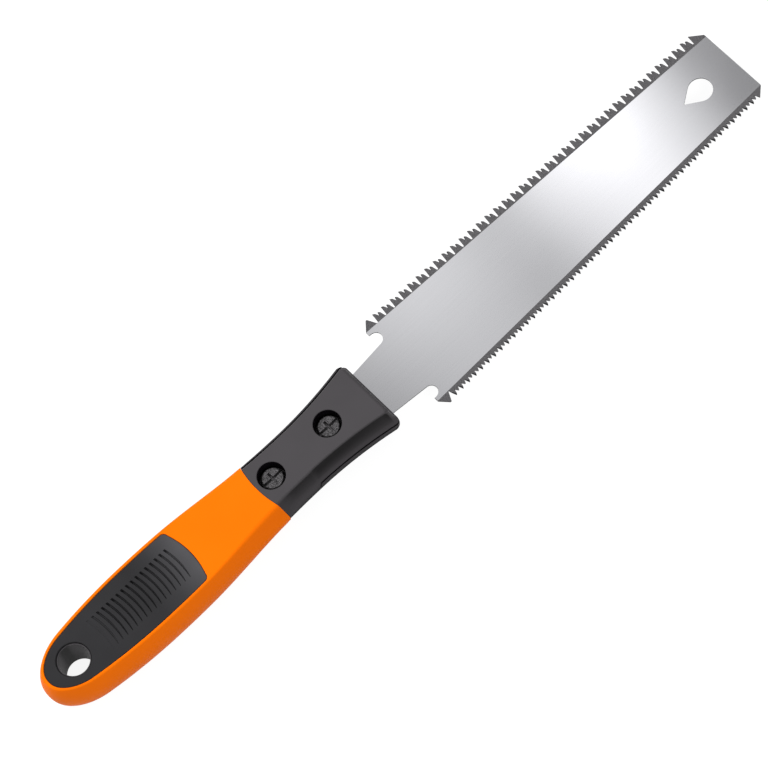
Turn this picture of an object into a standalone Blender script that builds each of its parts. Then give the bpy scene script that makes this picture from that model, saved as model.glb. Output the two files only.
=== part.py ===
"""Double-edged pull saw with an over-moulded grip and a clamped, replaceable blade.

The saw lies on its side: X runs from the butt of the grip to the tip of the blade, Y across
the blade (coarse teeth on +Y, fine teeth on -Y) and Z up through the thickness of the handle.
The origin is at the centre of the saw's outline, on the plane that the handle lies on.
"""
import math

import bmesh
import bpy

MM = 0.001

# Gap that neighbouring pieces keep, the steps of a round shape, and points along the outlines
GAP = 0.3 * MM
ROUND_STEPS = 32
BUTT_POINTS = 9
GRIP_SIDE_POINTS = 18
PAD_SIDE_POINTS = 10
CLAMP_SIDE_POINTS = 12
CORNER_POINTS = 5

# Handle: distances along it are measured from the butt
GRIP_LENGTH = 93.6 * MM
CLAMP_LENGTH = 49.7 * MM
HANDLE_THICKNESS = 16.0 * MM
BUTT_TAPER = 4.7 * MM
BUTT_ROUND_LENGTH = 16.0 * MM
BUTT_FACE_SETBACK = 2.3 * MM
BUTT_ROUND_POWER = 2.3
PALM_HALF_WIDTH = 14.3 * MM
PALM_START = 45.0 * MM
PALM_END = 47.5 * MM
NECK_HALF_WIDTH = 11.83 * MM
NECK_AHEAD_OF_GRIP = 17.8 * MM
CLAMP_FRONT_HALF_WIDTH = 14.6 * MM
CLAMP_FRONT_CORNER = 2.8 * MM
CLAMP_FRONT_SETBACK = 3.2 * MM

# How the sides lean in from mid height to the flat top and bottom faces
GRIP_SIDE_INSET = 2.5 * MM
CLAMP_SIDE_INSET = 4.15 * MM
FACE_EDGE_RADIUS = 0.6 * MM
GRIP_SIDE_POWER = 2.0
NECK_SIDE_POWER = 1.1
CLAMP_SIDE_POWER = 0.5
SIDE_CHANGE_START = 60.0 * MM
HOLLOW_GROWTH_LENGTH = 8.0 * MM
SIDE_LEVELS = 8

# Orange over-mould and the black core inside it; grip and clamp meet along an arc
JOINT_ARC_RADIUS = 38.0 * MM
SLEEVE_SIDE_WALL = 1.6 * MM
SLEEVE_FACE_WALL = 2.2 * MM
TRIM_LENGTH = 5.0 * MM

# Rubber pads let into both faces of the grip
PAD_RIM = 0.1 * MM
PAD_ROUND_LENGTH = 12.0 * MM
PAD_FRONT_CORNER_POSITION = 62.6 * MM
PAD_FRONT_BULGE = 1.5 * MM
PAD_FRONT_CORNER = 1.8 * MM
PAD_RECESS = 0.2 * MM
GROOVE_COUNT = 15
GROOVE_FRONT_MARGIN = 3.8 * MM
GROOVE_PITCH = 2.09 * MM
GROOVE_WIDTH = 0.9 * MM
GROOVE_DEPTH = 0.6 * MM
GROOVE_HALF_SPAN = 7.1 * MM
GROOVE_BULGE = 0.85 * MM

# Hanging hole
HANG_HOLE_POSITION = 13.3 * MM
HANG_HOLE_DIAMETER = 11.2 * MM
HANG_HOLE_CHAMFER = 0.7 * MM

# Two-part clamp: the base frame carries a raised lip round the cover
LIP_HEIGHT = 0.9 * MM
LIP_WIDTH = 1.0 * MM
LIP_WIDTH_REAR = 0.4 * MM
LIP_GROWTH_LENGTH = 18.0 * MM
STRAIGHT_SIDE = 2.0 * MM
POCKET_WALL = 2.0 * MM
POCKET_HALF_WIDTH = 5.0 * MM

# Clamp screws and nuts
REAR_SCREW_AHEAD_OF_GRIP = 6.4 * MM
FRONT_SCREW_SETBACK = 18.5 * MM
SCREW_DIAMETER = 4.0 * MM
SCREW_END_STAND_OUT = 0.5 * MM
SCREW_TIP_CHAMFER = 0.5 * MM
HEAD_DIAMETER = 8.0 * MM
HEAD_HEIGHT = 3.0 * MM
SLOT_WIDTH = 0.9 * MM
SLOT_DEPTH = 1.1 * MM
CROSS_LENGTH = 4.6 * MM
CROSS_DEPTH = 1.9 * MM
SCREW_RECESS_DIAMETER = 9.6 * MM
FLOOR_UNDER_HEAD = 1.8 * MM
FLOOR_OVER_NUT = 1.8 * MM
NUT_ACROSS_FLATS = 7.0 * MM
NUT_HEIGHT = 3.2 * MM

# Crown of a screw head, as (share of the head's radius, share of its height)
HEAD_CROWN_SHARES = ((0.0, 1.0), (0.35, 0.97), (0.65, 0.87), (0.88, 0.7), (1.0, 0.5), (1.0, 0.0))

# Blade
BLADE_THICKNESS = 0.6 * MM
EXPOSED_TANG_LENGTH = 12.95 * MM
TOOTHED_LENGTH = 150.05 * MM
HEEL_HALF_WIDTH = 17.3 * MM
TIP_HALF_WIDTH = 13.3 * MM
TANG_REAR_HALF_WIDTH = 8.6 * MM
TANG_REAR_CORNER = 1.5 * MM
TANG_HALF_WIDTH = 9.75 * MM
TANG_CLEARANCE = 0.4 * MM
HEEL_NOTCH_RADIUS = 2.4 * MM
HEEL_NOTCH_OFFSET = 0.65 * MM
HEEL_HORN_WIDTH = 1.5 * MM
GUARD_LENGTH = 4.8 * MM
GUARD_HEIGHT = 3.3 * MM
GUARD_APEX_SHARE = 0.6

COARSE_HEIGHT = 3.4 * MM
COARSE_PITCH = 3.79 * MM
COARSE_GUARD_GAP = 0.8 * MM
COARSE_LAST_BACK = 4.0 * MM
FINE_HEIGHT = 3.0 * MM
FINE_PITCH = 3.0 * MM
FINE_GUARD_GAP = 0.95 * MM
FINE_LAST_BACK = 3.0 * MM

# One pair of teeth, as (share of the pitch, share of the tooth height)
COARSE_TOOTH_SHARES = ((0.0, 1.0), (0.24, 0.84), (0.40, 0.45), (0.49, 0.87), (0.69, 0.72), (0.83, 0.06),
                       (0.94, 0.05))
FINE_TOOTH_SHARES = ((0.0, 1.0), (0.16, 0.78), (0.27, 0.40), (0.53, 0.86), (0.78, 0.36))

# Teardrop hanging hole near the tip of the blade
TEARDROP_SETBACK = 14.8 * MM
TEARDROP_RADIUS = 4.25 * MM
TEARDROP_LENGTH = 11.7 * MM

# Places along the saw that follow from these sizes
HANDLE_LENGTH = GRIP_LENGTH + CLAMP_LENGTH
NECK_POSITION = GRIP_LENGTH + NECK_AHEAD_OF_GRIP
HEEL_POSITION = HANDLE_LENGTH + EXPOSED_TANG_LENGTH
TIP_POSITION = HEEL_POSITION + TOOTHED_LENGTH
REAR_SCREW_POSITION = GRIP_LENGTH + REAR_SCREW_AHEAD_OF_GRIP
FRONT_SCREW_POSITION = HANDLE_LENGTH - FRONT_SCREW_SETBACK
SCREW_POSITIONS = (("rear", REAR_SCREW_POSITION), ("front", FRONT_SCREW_POSITION))

# Heights: the blade lies at mid thickness, flush with the ledge that the cover closes on
MIDDLE = HANDLE_THICKNESS / 2
BLADE_BOTTOM = MIDDLE - BLADE_THICKNESS / 2
CHANNEL_FLOOR = BLADE_BOTTOM - GAP
LEDGE_HEIGHT = MIDDLE + BLADE_THICKNESS / 2
COVER_SEAT = LEDGE_HEIGHT + GAP
HEAD_SEAT = COVER_SEAT + FLOOR_UNDER_HEAD
NUT_POCKET_TOP = CHANNEL_FLOOR - FLOOR_OVER_NUT
SCREW_TIP_HEIGHT = NUT_POCKET_TOP - GAP - NUT_HEIGHT - SCREW_END_STAND_OUT
BORE_RADIUS = SCREW_DIAMETER / 2 + GAP

# Shares of a side's height at which it is drawn, closer together towards both ends
SIDE_STEPS = [(1 - math.cos(math.pi * level / SIDE_LEVELS)) / 2 for level in range(SIDE_LEVELS + 1)]


def blend(value, low, high):
    """Smooth change from 0 to 1 as value goes from low to high."""
    share = min(max((value - low) / (high - low), 0.0), 1.0)
    return share * share * (3 - 2 * share)


def mix(first, second, share):
    return first + (second - first) * share


def side_half_width(distance):
    """Half width of the handle at mid height, before the butt is rounded off."""
    if distance < PALM_START:
        return PALM_HALF_WIDTH - BUTT_TAPER * (1 - distance / PALM_START) ** 2
    if distance < NECK_POSITION:
        share = max(0.0, (distance - PALM_END) / (NECK_POSITION - PALM_END))
        return mix(PALM_HALF_WIDTH, NECK_HALF_WIDTH, (1 - math.cos(math.pi * share)) / 2)
    share = (distance - NECK_POSITION) / (HANDLE_LENGTH - NECK_POSITION)
    return NECK_HALF_WIDTH + (CLAMP_FRONT_HALF_WIDTH - NECK_HALF_WIDTH) * share ** 2


def edge_rounding(rise, full_rise):
    """Extra inset that rounds the last stretch before a flat face."""
    share = max(0.0, (rise - full_rise) / FACE_EDGE_RADIUS + 1)
    return FACE_EDGE_RADIUS * (1 - math.sqrt(max(0.0, 1 - share * share)))


def side_power(distance):
    """Exponent of the side's lean: bulging on the grip, hollow on the clamp."""
    grip = blend(distance, SIDE_CHANGE_START, GRIP_LENGTH)
    clamp = blend(distance, GRIP_LENGTH, GRIP_LENGTH + HOLLOW_GROWTH_LENGTH)
    return mix(mix(GRIP_SIDE_POWER, NECK_SIDE_POWER, grip), CLAMP_SIDE_POWER, clamp)


def side_inset(rise, full_rise, distance):
    """How far the side stands inside its widest line, rise above or below that line."""
    face_inset = mix(GRIP_SIDE_INSET, CLAMP_SIDE_INSET, blend(distance, SIDE_CHANGE_START, GRIP_LENGTH))
    lean = (face_inset - FACE_EDGE_RADIUS) * (rise / full_rise) ** side_power(distance)
    return lean + edge_rounding(rise, full_rise)


def grip_inset(rise, distance):
    """Inset of the grip, whose sides turn upright at mid height where they meet the clamp."""
    upright = STRAIGHT_SIDE / 2 * blend(distance, SIDE_CHANGE_START, GRIP_LENGTH)
    return side_inset(max(0.0, rise - upright), MIDDLE - upright, distance)


def lip_width(distance):
    """Width of the lip that stands round the cover, which fades towards the grip."""
    return mix(LIP_WIDTH_REAR, LIP_WIDTH, blend(distance, GRIP_LENGTH, GRIP_LENGTH + LIP_GROWTH_LENGTH))


def grip_side(start, round_length, end, inset, side_points=GRIP_SIDE_POINTS):
    """Outline of one side of the grip, from the middle of the butt to a square front end."""
    points = []
    power = 2 / BUTT_ROUND_POWER
    for step in range(BUTT_POINTS):
        angle = math.pi / 2 * step / BUTT_POINTS
        distance = start + round_length * (1 - math.cos(angle) ** power)
        width = side_half_width(distance) - inset(distance)
        points.append((distance, width * math.sin(angle) ** power))
    first = start + round_length
    for step in range(side_points + 1):
        distance = mix(first, end, step / side_points)
        points.append((distance, side_half_width(distance) - inset(distance)))
    return points


def clamp_side(start, end, corner, inset):
    """Outline of one side of the clamp, from its rear end to a front corner rounded in plan."""
    points = []
    for step in range(CLAMP_SIDE_POINTS):
        distance = mix(start, end - corner, step / CLAMP_SIDE_POINTS)
        points.append((distance, side_half_width(distance) - inset(distance)))
    width = side_half_width(end - corner) - inset(end - corner)
    for step in range(CORNER_POINTS + 1):
        angle = math.pi / 2 * step / CORNER_POINTS
        across = width - corner + corner * math.cos(angle)
        points.append((end - corner + corner * math.sin(angle), across))
    return points


def both_sides(points):
    """Closed outline from one side's points, mirrored across the centre line."""
    other = [(x, -y) for x, y in reversed(points) if y > 1e-6]
    return list(points) + other


def link(obj, material=None):
    """Put an object in the saw's collection, or among the cutters if it has no material."""
    if material is None:
        cutters.objects.link(obj)
        obj.display_type = 'WIRE'
        obj.hide_render = True
    else:
        saw.objects.link(obj)
        obj.data.materials.append(material)
    obj.parent = frame
    return obj


def mesh_object(name, bm, material=None):
    bmesh.ops.recalc_face_normals(bm, faces=bm.faces)
    mesh = bpy.data.meshes.new(name)
    bm.to_mesh(mesh)
    bm.free()
    return link(bpy.data.objects.new(name, mesh), material)


def loft(name, rings, material=None):
    """Closed solid through a stack of outlines, each given as (height, points)."""
    bm = bmesh.new()
    loops = [[bm.verts.new((x, y, height)) for x, y in points] for height, points in rings]
    count = len(loops[0])
    for lower, upper in zip(loops, loops[1:]):
        for index in range(count):
            after = (index + 1) % count
            bm.faces.new((lower[index], lower[after], upper[after], upper[index]))
    bm.faces.new(list(reversed(loops[0])))
    bm.faces.new(loops[-1])
    return mesh_object(name, bm, material)


def plate(name, outlines, low, high, material=None):
    """Flat solid between two heights; an outline inside another one is a hole."""
    curve = bpy.data.curves.new(name, 'CURVE')
    curve.dimensions = '2D'
    curve.fill_mode = 'BOTH'
    curve.extrude = (high - low) / 2
    for outline in outlines:
        spline = curve.splines.new('POLY')
        spline.points.add(len(outline) - 1)
        for point, (x, y) in zip(spline.points, outline):
            point.co = (x, y, 0, 1)
        spline.use_cyclic_u = True
    drawn = bpy.data.objects.new(name + "_outline", curve)
    bpy.context.scene.collection.objects.link(drawn)
    evaluated = drawn.evaluated_get(bpy.context.evaluated_depsgraph_get())
    mesh = bpy.data.meshes.new_from_object(evaluated)
    bpy.data.objects.remove(drawn)
    bm = bmesh.new()
    bm.from_mesh(mesh)
    bmesh.ops.remove_doubles(bm, verts=bm.verts, dist=1e-6)
    bmesh.ops.translate(bm, verts=bm.verts, vec=(0, 0, (low + high) / 2))
    return mesh_object(name, bm, material)


def cylinder(name, radius, low, high, distance, steps=ROUND_STEPS, top_radius=None, turn=0.0):
    """Upright round or polygonal cutter, or a cone if the top radius differs."""
    bm = bmesh.new()
    upper = radius if top_radius is None else top_radius
    bmesh.ops.create_cone(bm, cap_ends=True, segments=steps, radius1=radius, radius2=upper, depth=high - low)
    obj = mesh_object(name, bm)
    obj.location = (distance, 0, (low + high) / 2)
    obj.rotation_euler.z = turn
    return obj


def box(name, size, centre):
    bm = bmesh.new()
    bmesh.ops.create_cube(bm, size=1)
    bmesh.ops.scale(bm, verts=bm.verts, vec=size)
    obj = mesh_object(name, bm)
    obj.location = centre
    return obj


def combine(obj, other, operation='DIFFERENCE'):
    modifier = obj.modifiers.new(other.name, 'BOOLEAN')
    modifier.object = other
    modifier.operation = operation


def settle(obj):
    """Make an object's modifiers part of its mesh, so that copies can share it."""
    bpy.context.view_layer.update()
    evaluated = obj.evaluated_get(bpy.context.evaluated_depsgraph_get())
    mesh = bpy.data.meshes.new_from_object(evaluated)
    obj.modifiers.clear()
    obj.data = mesh


def smooth(obj, degrees=30):
    obj.data.shade_smooth()
    obj.data.set_sharp_from_angle(angle=math.radians(degrees))


def make_material(name, colour, roughness, metallic=0.0):
    material = bpy.data.materials.new(name)
    material.use_nodes = True
    shader = material.node_tree.nodes["Principled BSDF"]
    shader.inputs["Base Color"].default_value = (*colour, 1)
    shader.inputs["Roughness"].default_value = roughness
    shader.inputs["Metallic"].default_value = metallic
    return material


def joint_arc(name, grow):
    """Upright cylinder whose rear wall is the arc where grip and clamp meet."""
    centre = GRIP_LENGTH + JOINT_ARC_RADIUS
    return cylinder(name, JOINT_ARC_RADIUS + grow, -MIDDLE, 3 * MIDDLE, centre, steps=180)


def joint_arc_depth(across):
    """How far ahead of its middle the arc lies, at a distance from the centre line."""
    return JOINT_ARC_RADIUS - math.sqrt(JOINT_ARC_RADIUS ** 2 - across ** 2)


def full_height(half_height):
    """Heights above the middle, from the lower face to the upper one."""
    upper = [half_height * share for share in SIDE_STEPS]
    return [-rise for rise in reversed(upper[1:])] + upper


def grip_body(name, shrink, half_height, start, end, material=None):
    """Grip-shaped solid, shrunk by a wall thickness on its sides and butt."""
    rings = []
    for rise in full_height(half_height):
        above = abs(rise)
        setback = BUTT_FACE_SETBACK * grip_inset(above, 0) / GRIP_SIDE_INSET

        def inset(distance):
            return shrink + grip_inset(above, distance)

        side = grip_side(start + setback, BUTT_ROUND_LENGTH - setback, end, inset)
        rings.append((MIDDLE + rise, both_sides(side)))
    return loft(name, rings, material)


def grip_sleeve():
    """Orange over-mould: a shell round the core, with a window in each face for the pads."""
    beyond = GRIP_LENGTH + TRIM_LENGTH
    wall = SLEEVE_SIDE_WALL
    sleeve = grip_body("grip_sleeve", 0.0, MIDDLE, 0.0, beyond, orange)
    combine(sleeve, grip_body("sleeve_cavity", wall, MIDDLE - SLEEVE_FACE_WALL, wall, beyond + GAP))
    combine(sleeve, plate("pad_windows", [pad_outline(GAP)], -GAP, HANDLE_THICKNESS + GAP))
    combine(sleeve, joint_arc("sleeve_front_cut", GAP / 2))
    smooth(sleeve)


def pad_outline(grow, corner_points=4, front_points=4):
    """Outline of a pad, or of the window round it when grown by the gap."""
    border = PAD_RIM + GAP - grow

    def inset(distance):
        return GRIP_SIDE_INSET + border

    end = PAD_FRONT_CORNER_POSITION + grow
    corner = PAD_FRONT_CORNER + grow
    side = grip_side(BUTT_FACE_SETBACK + border, PAD_ROUND_LENGTH, end - corner, inset, PAD_SIDE_POINTS)
    across = side[-1][1] - corner
    for step in range(1, corner_points + 1):
        angle = math.pi / 2 * step / corner_points
        side.append((end - corner + corner * math.sin(angle), across + corner * math.cos(angle)))
    for step in range(1, front_points + 1):
        share = 1 - step / front_points
        side.append((end + PAD_FRONT_BULGE * (1 - share * share), across * share))
    return both_sides(side)


def groove_outline(index, steps=6):
    """Outline of one curved groove, bulging towards the blade."""
    middle = PAD_FRONT_CORNER_POSITION - GROOVE_FRONT_MARGIN - GROOVE_PITCH * index
    front = []
    for step in range(-steps, steps + 1):
        share = step / steps
        front.append((middle + GROOVE_BULGE * (0.5 - share * share), GROOVE_HALF_SPAN * share))
    rear = [(x - GROOVE_WIDTH, y) for x, y in reversed(front)]
    return front + rear


def grip_pads():
    """Ribbed rubber pads; the lower one is the upper one turned over."""
    top = MIDDLE - PAD_RECESS
    bottom = MIDDLE - SLEEVE_FACE_WALL
    pad = plate("grip_pad_upper", [pad_outline(0.0)], bottom, top, rubber)
    grooves = [groove_outline(index) for index in range(GROOVE_COUNT)]
    groove_cutter = plate("grooves", grooves, top - GROOVE_DEPTH, top + GAP)
    radius = HANG_HOLE_DIAMETER / 2
    hole = cylinder("pad_hole", radius, bottom - GAP, top + GAP, HANG_HOLE_POSITION)
    chamfer = cylinder("pad_hole_chamfer", radius, top - HANG_HOLE_CHAMFER, top + GAP, HANG_HOLE_POSITION,
                       top_radius=radius + HANG_HOLE_CHAMFER + GAP)
    for cutter in (groove_cutter, hole, chamfer):
        combine(pad, cutter)
    settle(pad)
    smooth(pad)
    pad.location.z = MIDDLE
    lower = link(bpy.data.objects.new("grip_pad_lower", pad.data.copy()), rubber)
    lower.location.z = MIDDLE
    lower.rotation_euler.x = math.pi


def clamp_ring(height, rise, full_rise, rear, outer):
    """Outline of the clamp at one height; outer is the inset of its widest line."""
    reach = side_inset(rise, full_rise, HANDLE_LENGTH) / CLAMP_SIDE_INSET
    front = HANDLE_LENGTH - outer(HANDLE_LENGTH) - (CLAMP_FRONT_SETBACK - outer(HANDLE_LENGTH)) * reach

    def inset(distance):
        start = outer(distance)
        return start + side_inset(rise, full_rise, distance) * (1 - start / CLAMP_SIDE_INSET)

    corner = (CLAMP_FRONT_CORNER - outer(HANDLE_LENGTH)) * (1 - reach / 2)
    return height, both_sides(clamp_side(rear, front, corner, inset))


def cover_line(distance):
    """Inset of the cover's lower edge, inside the lip."""
    return lip_width(distance) + GAP


def frame_line(distance):
    """Inset of the frame's widest line, which is the handle's own outline."""
    return 0.0


def frame_body(rear):
    """Lower half of the clamp: straight-sided at the lip, leaning in to its flat underside."""
    lip_top = LEDGE_HEIGHT + LIP_HEIGHT
    straight_bottom = lip_top - STRAIGHT_SIDE
    rings = []
    for share in reversed(SIDE_STEPS):
        rise = straight_bottom * share
        rings.append(clamp_ring(straight_bottom - rise, rise, straight_bottom, rear, frame_line))
    rings.append(clamp_ring(lip_top, 0.0, straight_bottom, rear, frame_line))
    return loft("frame_body", rings)


def nut_pocket(name, distance):
    radius = (NUT_ACROSS_FLATS / 2 + GAP) / math.cos(math.pi / 6)
    return cylinder(name, radius, -GAP, NUT_POCKET_TOP, distance, steps=6, turn=math.pi / 6)


def pocket_box(name, rear, front, low, high):
    size = (front - rear, 2 * POCKET_HALF_WIDTH, high - low)
    return box(name, size, ((rear + front) / 2, 0, (low + high) / 2))


def pocket_boxes(name, low, high):
    """Core-outs behind and ahead of the front screw, a wall away from the screw recesses."""
    clear = SCREW_RECESS_DIAMETER / 2 + POCKET_WALL
    front_end = HANDLE_LENGTH - CLAMP_FRONT_SETBACK - POCKET_WALL
    rear = pocket_box(name + "_rear", REAR_SCREW_POSITION + clear, FRONT_SCREW_POSITION - clear, low, high)
    front = pocket_box(name + "_front", FRONT_SCREW_POSITION + clear, front_end, low, high)
    return rear, front


def handle_core():
    """Black moulding: core inside the grip and, in one piece with it, the base of the clamp."""
    rear = GRIP_LENGTH - TRIM_LENGTH
    half_height = MIDDLE - SLEEVE_FACE_WALL - GAP
    shrink = SLEEVE_SIDE_WALL + GAP
    core = grip_body("handle_core", shrink, half_height, shrink, GRIP_LENGTH + TRIM_LENGTH, black)
    base = frame_body(rear)
    combine(base, joint_arc("frame_rear_cut", -GAP / 2), 'INTERSECT')
    combine(core, base, 'UNION')
    inner = both_sides(clamp_side(rear, HANDLE_LENGTH - LIP_WIDTH, CLAMP_FRONT_CORNER - LIP_WIDTH, lip_width))
    space = plate("cover_space", [inner], LEDGE_HEIGHT, HANDLE_THICKNESS + GAP)
    combine(space, joint_arc("space_rear_cut", GAP / 2), 'INTERSECT')
    combine(core, space)
    channel = plate("blade_channel", [channel_outline()], CHANNEL_FLOOR, HANDLE_THICKNESS + 2 * GAP)
    combine(core, channel)
    for name, distance in SCREW_POSITIONS:
        combine(core, cylinder("frame_bore_" + name, BORE_RADIUS, -GAP, HANDLE_THICKNESS, distance))
        combine(core, nut_pocket("nut_pocket_" + name, distance))
    for pocket in pocket_boxes("frame_pocket", POCKET_WALL, LEDGE_HEIGHT):
        combine(core, pocket)
    combine(core, cylinder("core_hang_hole", HANG_HOLE_DIAMETER / 2, 0, HANDLE_THICKNESS, HANG_HOLE_POSITION))
    smooth(core)


def clamp_cover():
    """Upper half of the clamp, which presses the tang down and takes the screw heads."""
    rear = GRIP_LENGTH - TRIM_LENGTH
    lip_top = LEDGE_HEIGHT + LIP_HEIGHT
    full_rise = HANDLE_THICKNESS - lip_top
    rings = [clamp_ring(COVER_SEAT, 0.0, full_rise, rear, cover_line)]
    for share in SIDE_STEPS:
        rise = full_rise * share
        rings.append(clamp_ring(lip_top + rise, rise, full_rise, rear, cover_line))
    cover = loft("clamp_cover", rings, black)
    combine(cover, joint_arc("cover_rear_cut", -GAP / 2), 'INTERSECT')
    for name, distance in SCREW_POSITIONS:
        combine(cover, cylinder("cover_bore_" + name, BORE_RADIUS, 0, HANDLE_THICKNESS, distance))
        combine(cover, cylinder("screw_recess_" + name, SCREW_RECESS_DIAMETER / 2, HEAD_SEAT,
                                HANDLE_THICKNESS + GAP, distance))
    for pocket in pocket_boxes("cover_pocket", COVER_SEAT - GAP, HANDLE_THICKNESS - POCKET_WALL):
        combine(cover, pocket)
    smooth(cover)


def clamp_screws():
    """Pan-head screws with a slot across the head and a shorter slot square to it."""
    seat = HEAD_SEAT + GAP
    shank = SCREW_DIAMETER / 2
    tip = SCREW_TIP_HEIGHT - seat
    profile = [(HEAD_DIAMETER / 2 * out, HEAD_HEIGHT * up) for out, up in HEAD_CROWN_SHARES]
    profile += [(shank, 0.0), (shank, tip + SCREW_TIP_CHAMFER), (shank - SCREW_TIP_CHAMFER, tip), (0.0, tip)]
    mesh = bpy.data.meshes.new("clamp_screw")
    edges = [(index, index + 1) for index in range(len(profile) - 1)]
    mesh.from_pydata([(x, 0, z) for x, z in profile], edges, [])
    screw = link(bpy.data.objects.new("clamp_screw_rear", mesh), zinc)
    turned = screw.modifiers.new("turned", 'SCREW')
    turned.steps = ROUND_STEPS
    turned.render_steps = ROUND_STEPS
    turned.use_merge_vertices = True
    turned.merge_threshold = 0.000001
    slot_size = (HEAD_DIAMETER + GAP, SLOT_WIDTH, 2 * SLOT_DEPTH)
    cross_size = (SLOT_WIDTH, CROSS_LENGTH, 2 * CROSS_DEPTH)
    combine(screw, box("screw_slot", slot_size, (0, 0, HEAD_HEIGHT)))
    combine(screw, box("screw_cross", cross_size, (0, 0, HEAD_HEIGHT)))
    settle(screw)
    smooth(screw)
    screw.location = (REAR_SCREW_POSITION, 0, seat)
    front = link(bpy.data.objects.new("clamp_screw_front", screw.data.copy()), zinc)
    front.location = (FRONT_SCREW_POSITION, 0, seat)


def clamp_nuts():
    """Hexagon nuts held in pockets in the underside of the clamp base."""
    radius = NUT_ACROSS_FLATS / 2 / math.cos(math.pi / 6)
    for name, distance in SCREW_POSITIONS:
        bm = bmesh.new()
        bmesh.ops.create_cone(bm, cap_ends=True, segments=6, radius1=radius, radius2=radius, depth=NUT_HEIGHT)
        nut = mesh_object("clamp_nut_" + name, bm, zinc)
        nut.location = (distance, 0, NUT_POCKET_TOP - GAP - NUT_HEIGHT / 2)
        nut.rotation_euler.z = math.pi / 6
        combine(nut, cylinder("nut_bore_" + name, BORE_RADIUS, 0, HANDLE_THICKNESS, distance))


def tang_rear():
    """Rear end of the tang, clear of the arc that closes its channel."""
    corner = TANG_REAR_HALF_WIDTH + TANG_CLEARANCE
    return GRIP_LENGTH + joint_arc_depth(corner) + TANG_CLEARANCE + GAP


def tang_half_width(distance):
    """Half width of the tang, which widens slightly towards the blade."""
    slope = (TANG_HALF_WIDTH - TANG_REAR_HALF_WIDTH) / (HANDLE_LENGTH - tang_rear())
    return TANG_HALF_WIDTH + slope * (distance - HANDLE_LENGTH)


def channel_outline():
    """Closed outline of the channel that takes the tang and runs out through the front."""
    side = []
    for distance in (tang_rear() - TANG_CLEARANCE, HANDLE_LENGTH + GAP):
        side.append((distance, tang_half_width(distance) + TANG_CLEARANCE))
    return both_sides(side)


def root_half_width(distance):
    """Half width of the blade at the roots of its teeth."""
    share = (distance - HEEL_POSITION) / (TIP_POSITION - HEEL_POSITION)
    return mix(HEEL_HALF_WIDTH, TIP_HALF_WIDTH, share)


def toothed_edge(gap, pitch, height, last_back, pair):
    """Points of one toothed edge, from the guard at the heel to the tip."""
    apex = HEEL_POSITION + GUARD_LENGTH * GUARD_APEX_SHARE
    guard_end = HEEL_POSITION + GUARD_LENGTH
    first = guard_end + gap
    pairs = int((TIP_POSITION - first - last_back) / pitch)
    points = [(HEEL_POSITION, HEEL_HALF_WIDTH), (apex, root_half_width(apex) + GUARD_HEIGHT)]
    points.append((guard_end, root_half_width(guard_end)))
    for index in range(pairs):
        for along, rise in pair:
            distance = first + pitch * (index + along)
            points.append((distance, root_half_width(distance) + height * rise))
    last = first + pitch * pairs
    points.append((last, root_half_width(last) + height))
    points.append((TIP_POSITION, TIP_HALF_WIDTH))
    return points


def heel_notch(corner_points=3, steps=8):
    """Points from the rear end of the tang, round the notch at the heel, to the horn."""
    corner = TANG_REAR_CORNER
    rear = tang_rear()
    points = []
    for step in range(corner_points + 1):
        angle = math.pi / 2 * step / corner_points
        across = TANG_REAR_HALF_WIDTH - corner + corner * math.sin(angle)
        points.append((rear + corner * (1 - math.cos(angle)), across))
    centre = HEEL_POSITION + HEEL_NOTCH_OFFSET
    middle = HEEL_HALF_WIDTH - HEEL_HORN_WIDTH - HEEL_NOTCH_RADIUS
    points.append((HANDLE_LENGTH, TANG_HALF_WIDTH))
    for step in range(steps + 1):
        angle = math.pi * step / steps - math.pi / 2
        along = centre + HEEL_NOTCH_RADIUS * math.cos(angle)
        points.append((along, middle + HEEL_NOTCH_RADIUS * math.sin(angle)))
    points.append((HEEL_POSITION, HEEL_HALF_WIDTH - HEEL_HORN_WIDTH))
    return points


def tang_slot(steps=12):
    """Open-ended slot in the tang that straddles both clamp screws."""
    points = [(tang_rear(), -BORE_RADIUS)]
    for step in range(steps + 1):
        angle = math.pi * step / steps - math.pi / 2
        x = FRONT_SCREW_POSITION + BORE_RADIUS * math.cos(angle)
        points.append((x, BORE_RADIUS * math.sin(angle)))
    points.append((tang_rear(), BORE_RADIUS))
    return points


def teardrop(steps=20):
    """Round hole drawn out to a point towards the handle."""
    middle = TIP_POSITION - TEARDROP_SETBACK
    reach = TEARDROP_LENGTH - TEARDROP_RADIUS
    tangent = math.acos(TEARDROP_RADIUS / reach)
    points = [(middle - reach, 0.0)]
    for step in range(steps + 1):
        angle = mix(math.pi - tangent, tangent - math.pi, step / steps)
        points.append((middle + TEARDROP_RADIUS * math.cos(angle), TEARDROP_RADIUS * math.sin(angle)))
    return points


def blade_outline():
    """Coarse teeth on +Y and fine teeth on -Y, on one plate with a slotted tang."""
    coarse = toothed_edge(COARSE_GUARD_GAP, COARSE_PITCH, COARSE_HEIGHT, COARSE_LAST_BACK,
                          COARSE_TOOTH_SHARES)
    fine = toothed_edge(FINE_GUARD_GAP, FINE_PITCH, FINE_HEIGHT, FINE_LAST_BACK, FINE_TOOTH_SHARES)
    lower = [(x, -y) for x, y in heel_notch() + fine]
    return heel_notch() + coarse + lower[::-1] + tang_slot()


def blade(outline):
    half = BLADE_THICKNESS / 2
    plate("blade", [outline, teardrop()], -half, half, steel).location.z = MIDDLE


for old in list(bpy.data.objects):
    bpy.data.objects.remove(old)

saw = bpy.data.collections.new("Pull saw")
cutters = bpy.data.collections.new("Cutters")
bpy.context.scene.collection.children.link(saw)
bpy.context.scene.collection.children.link(cutters)

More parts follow.
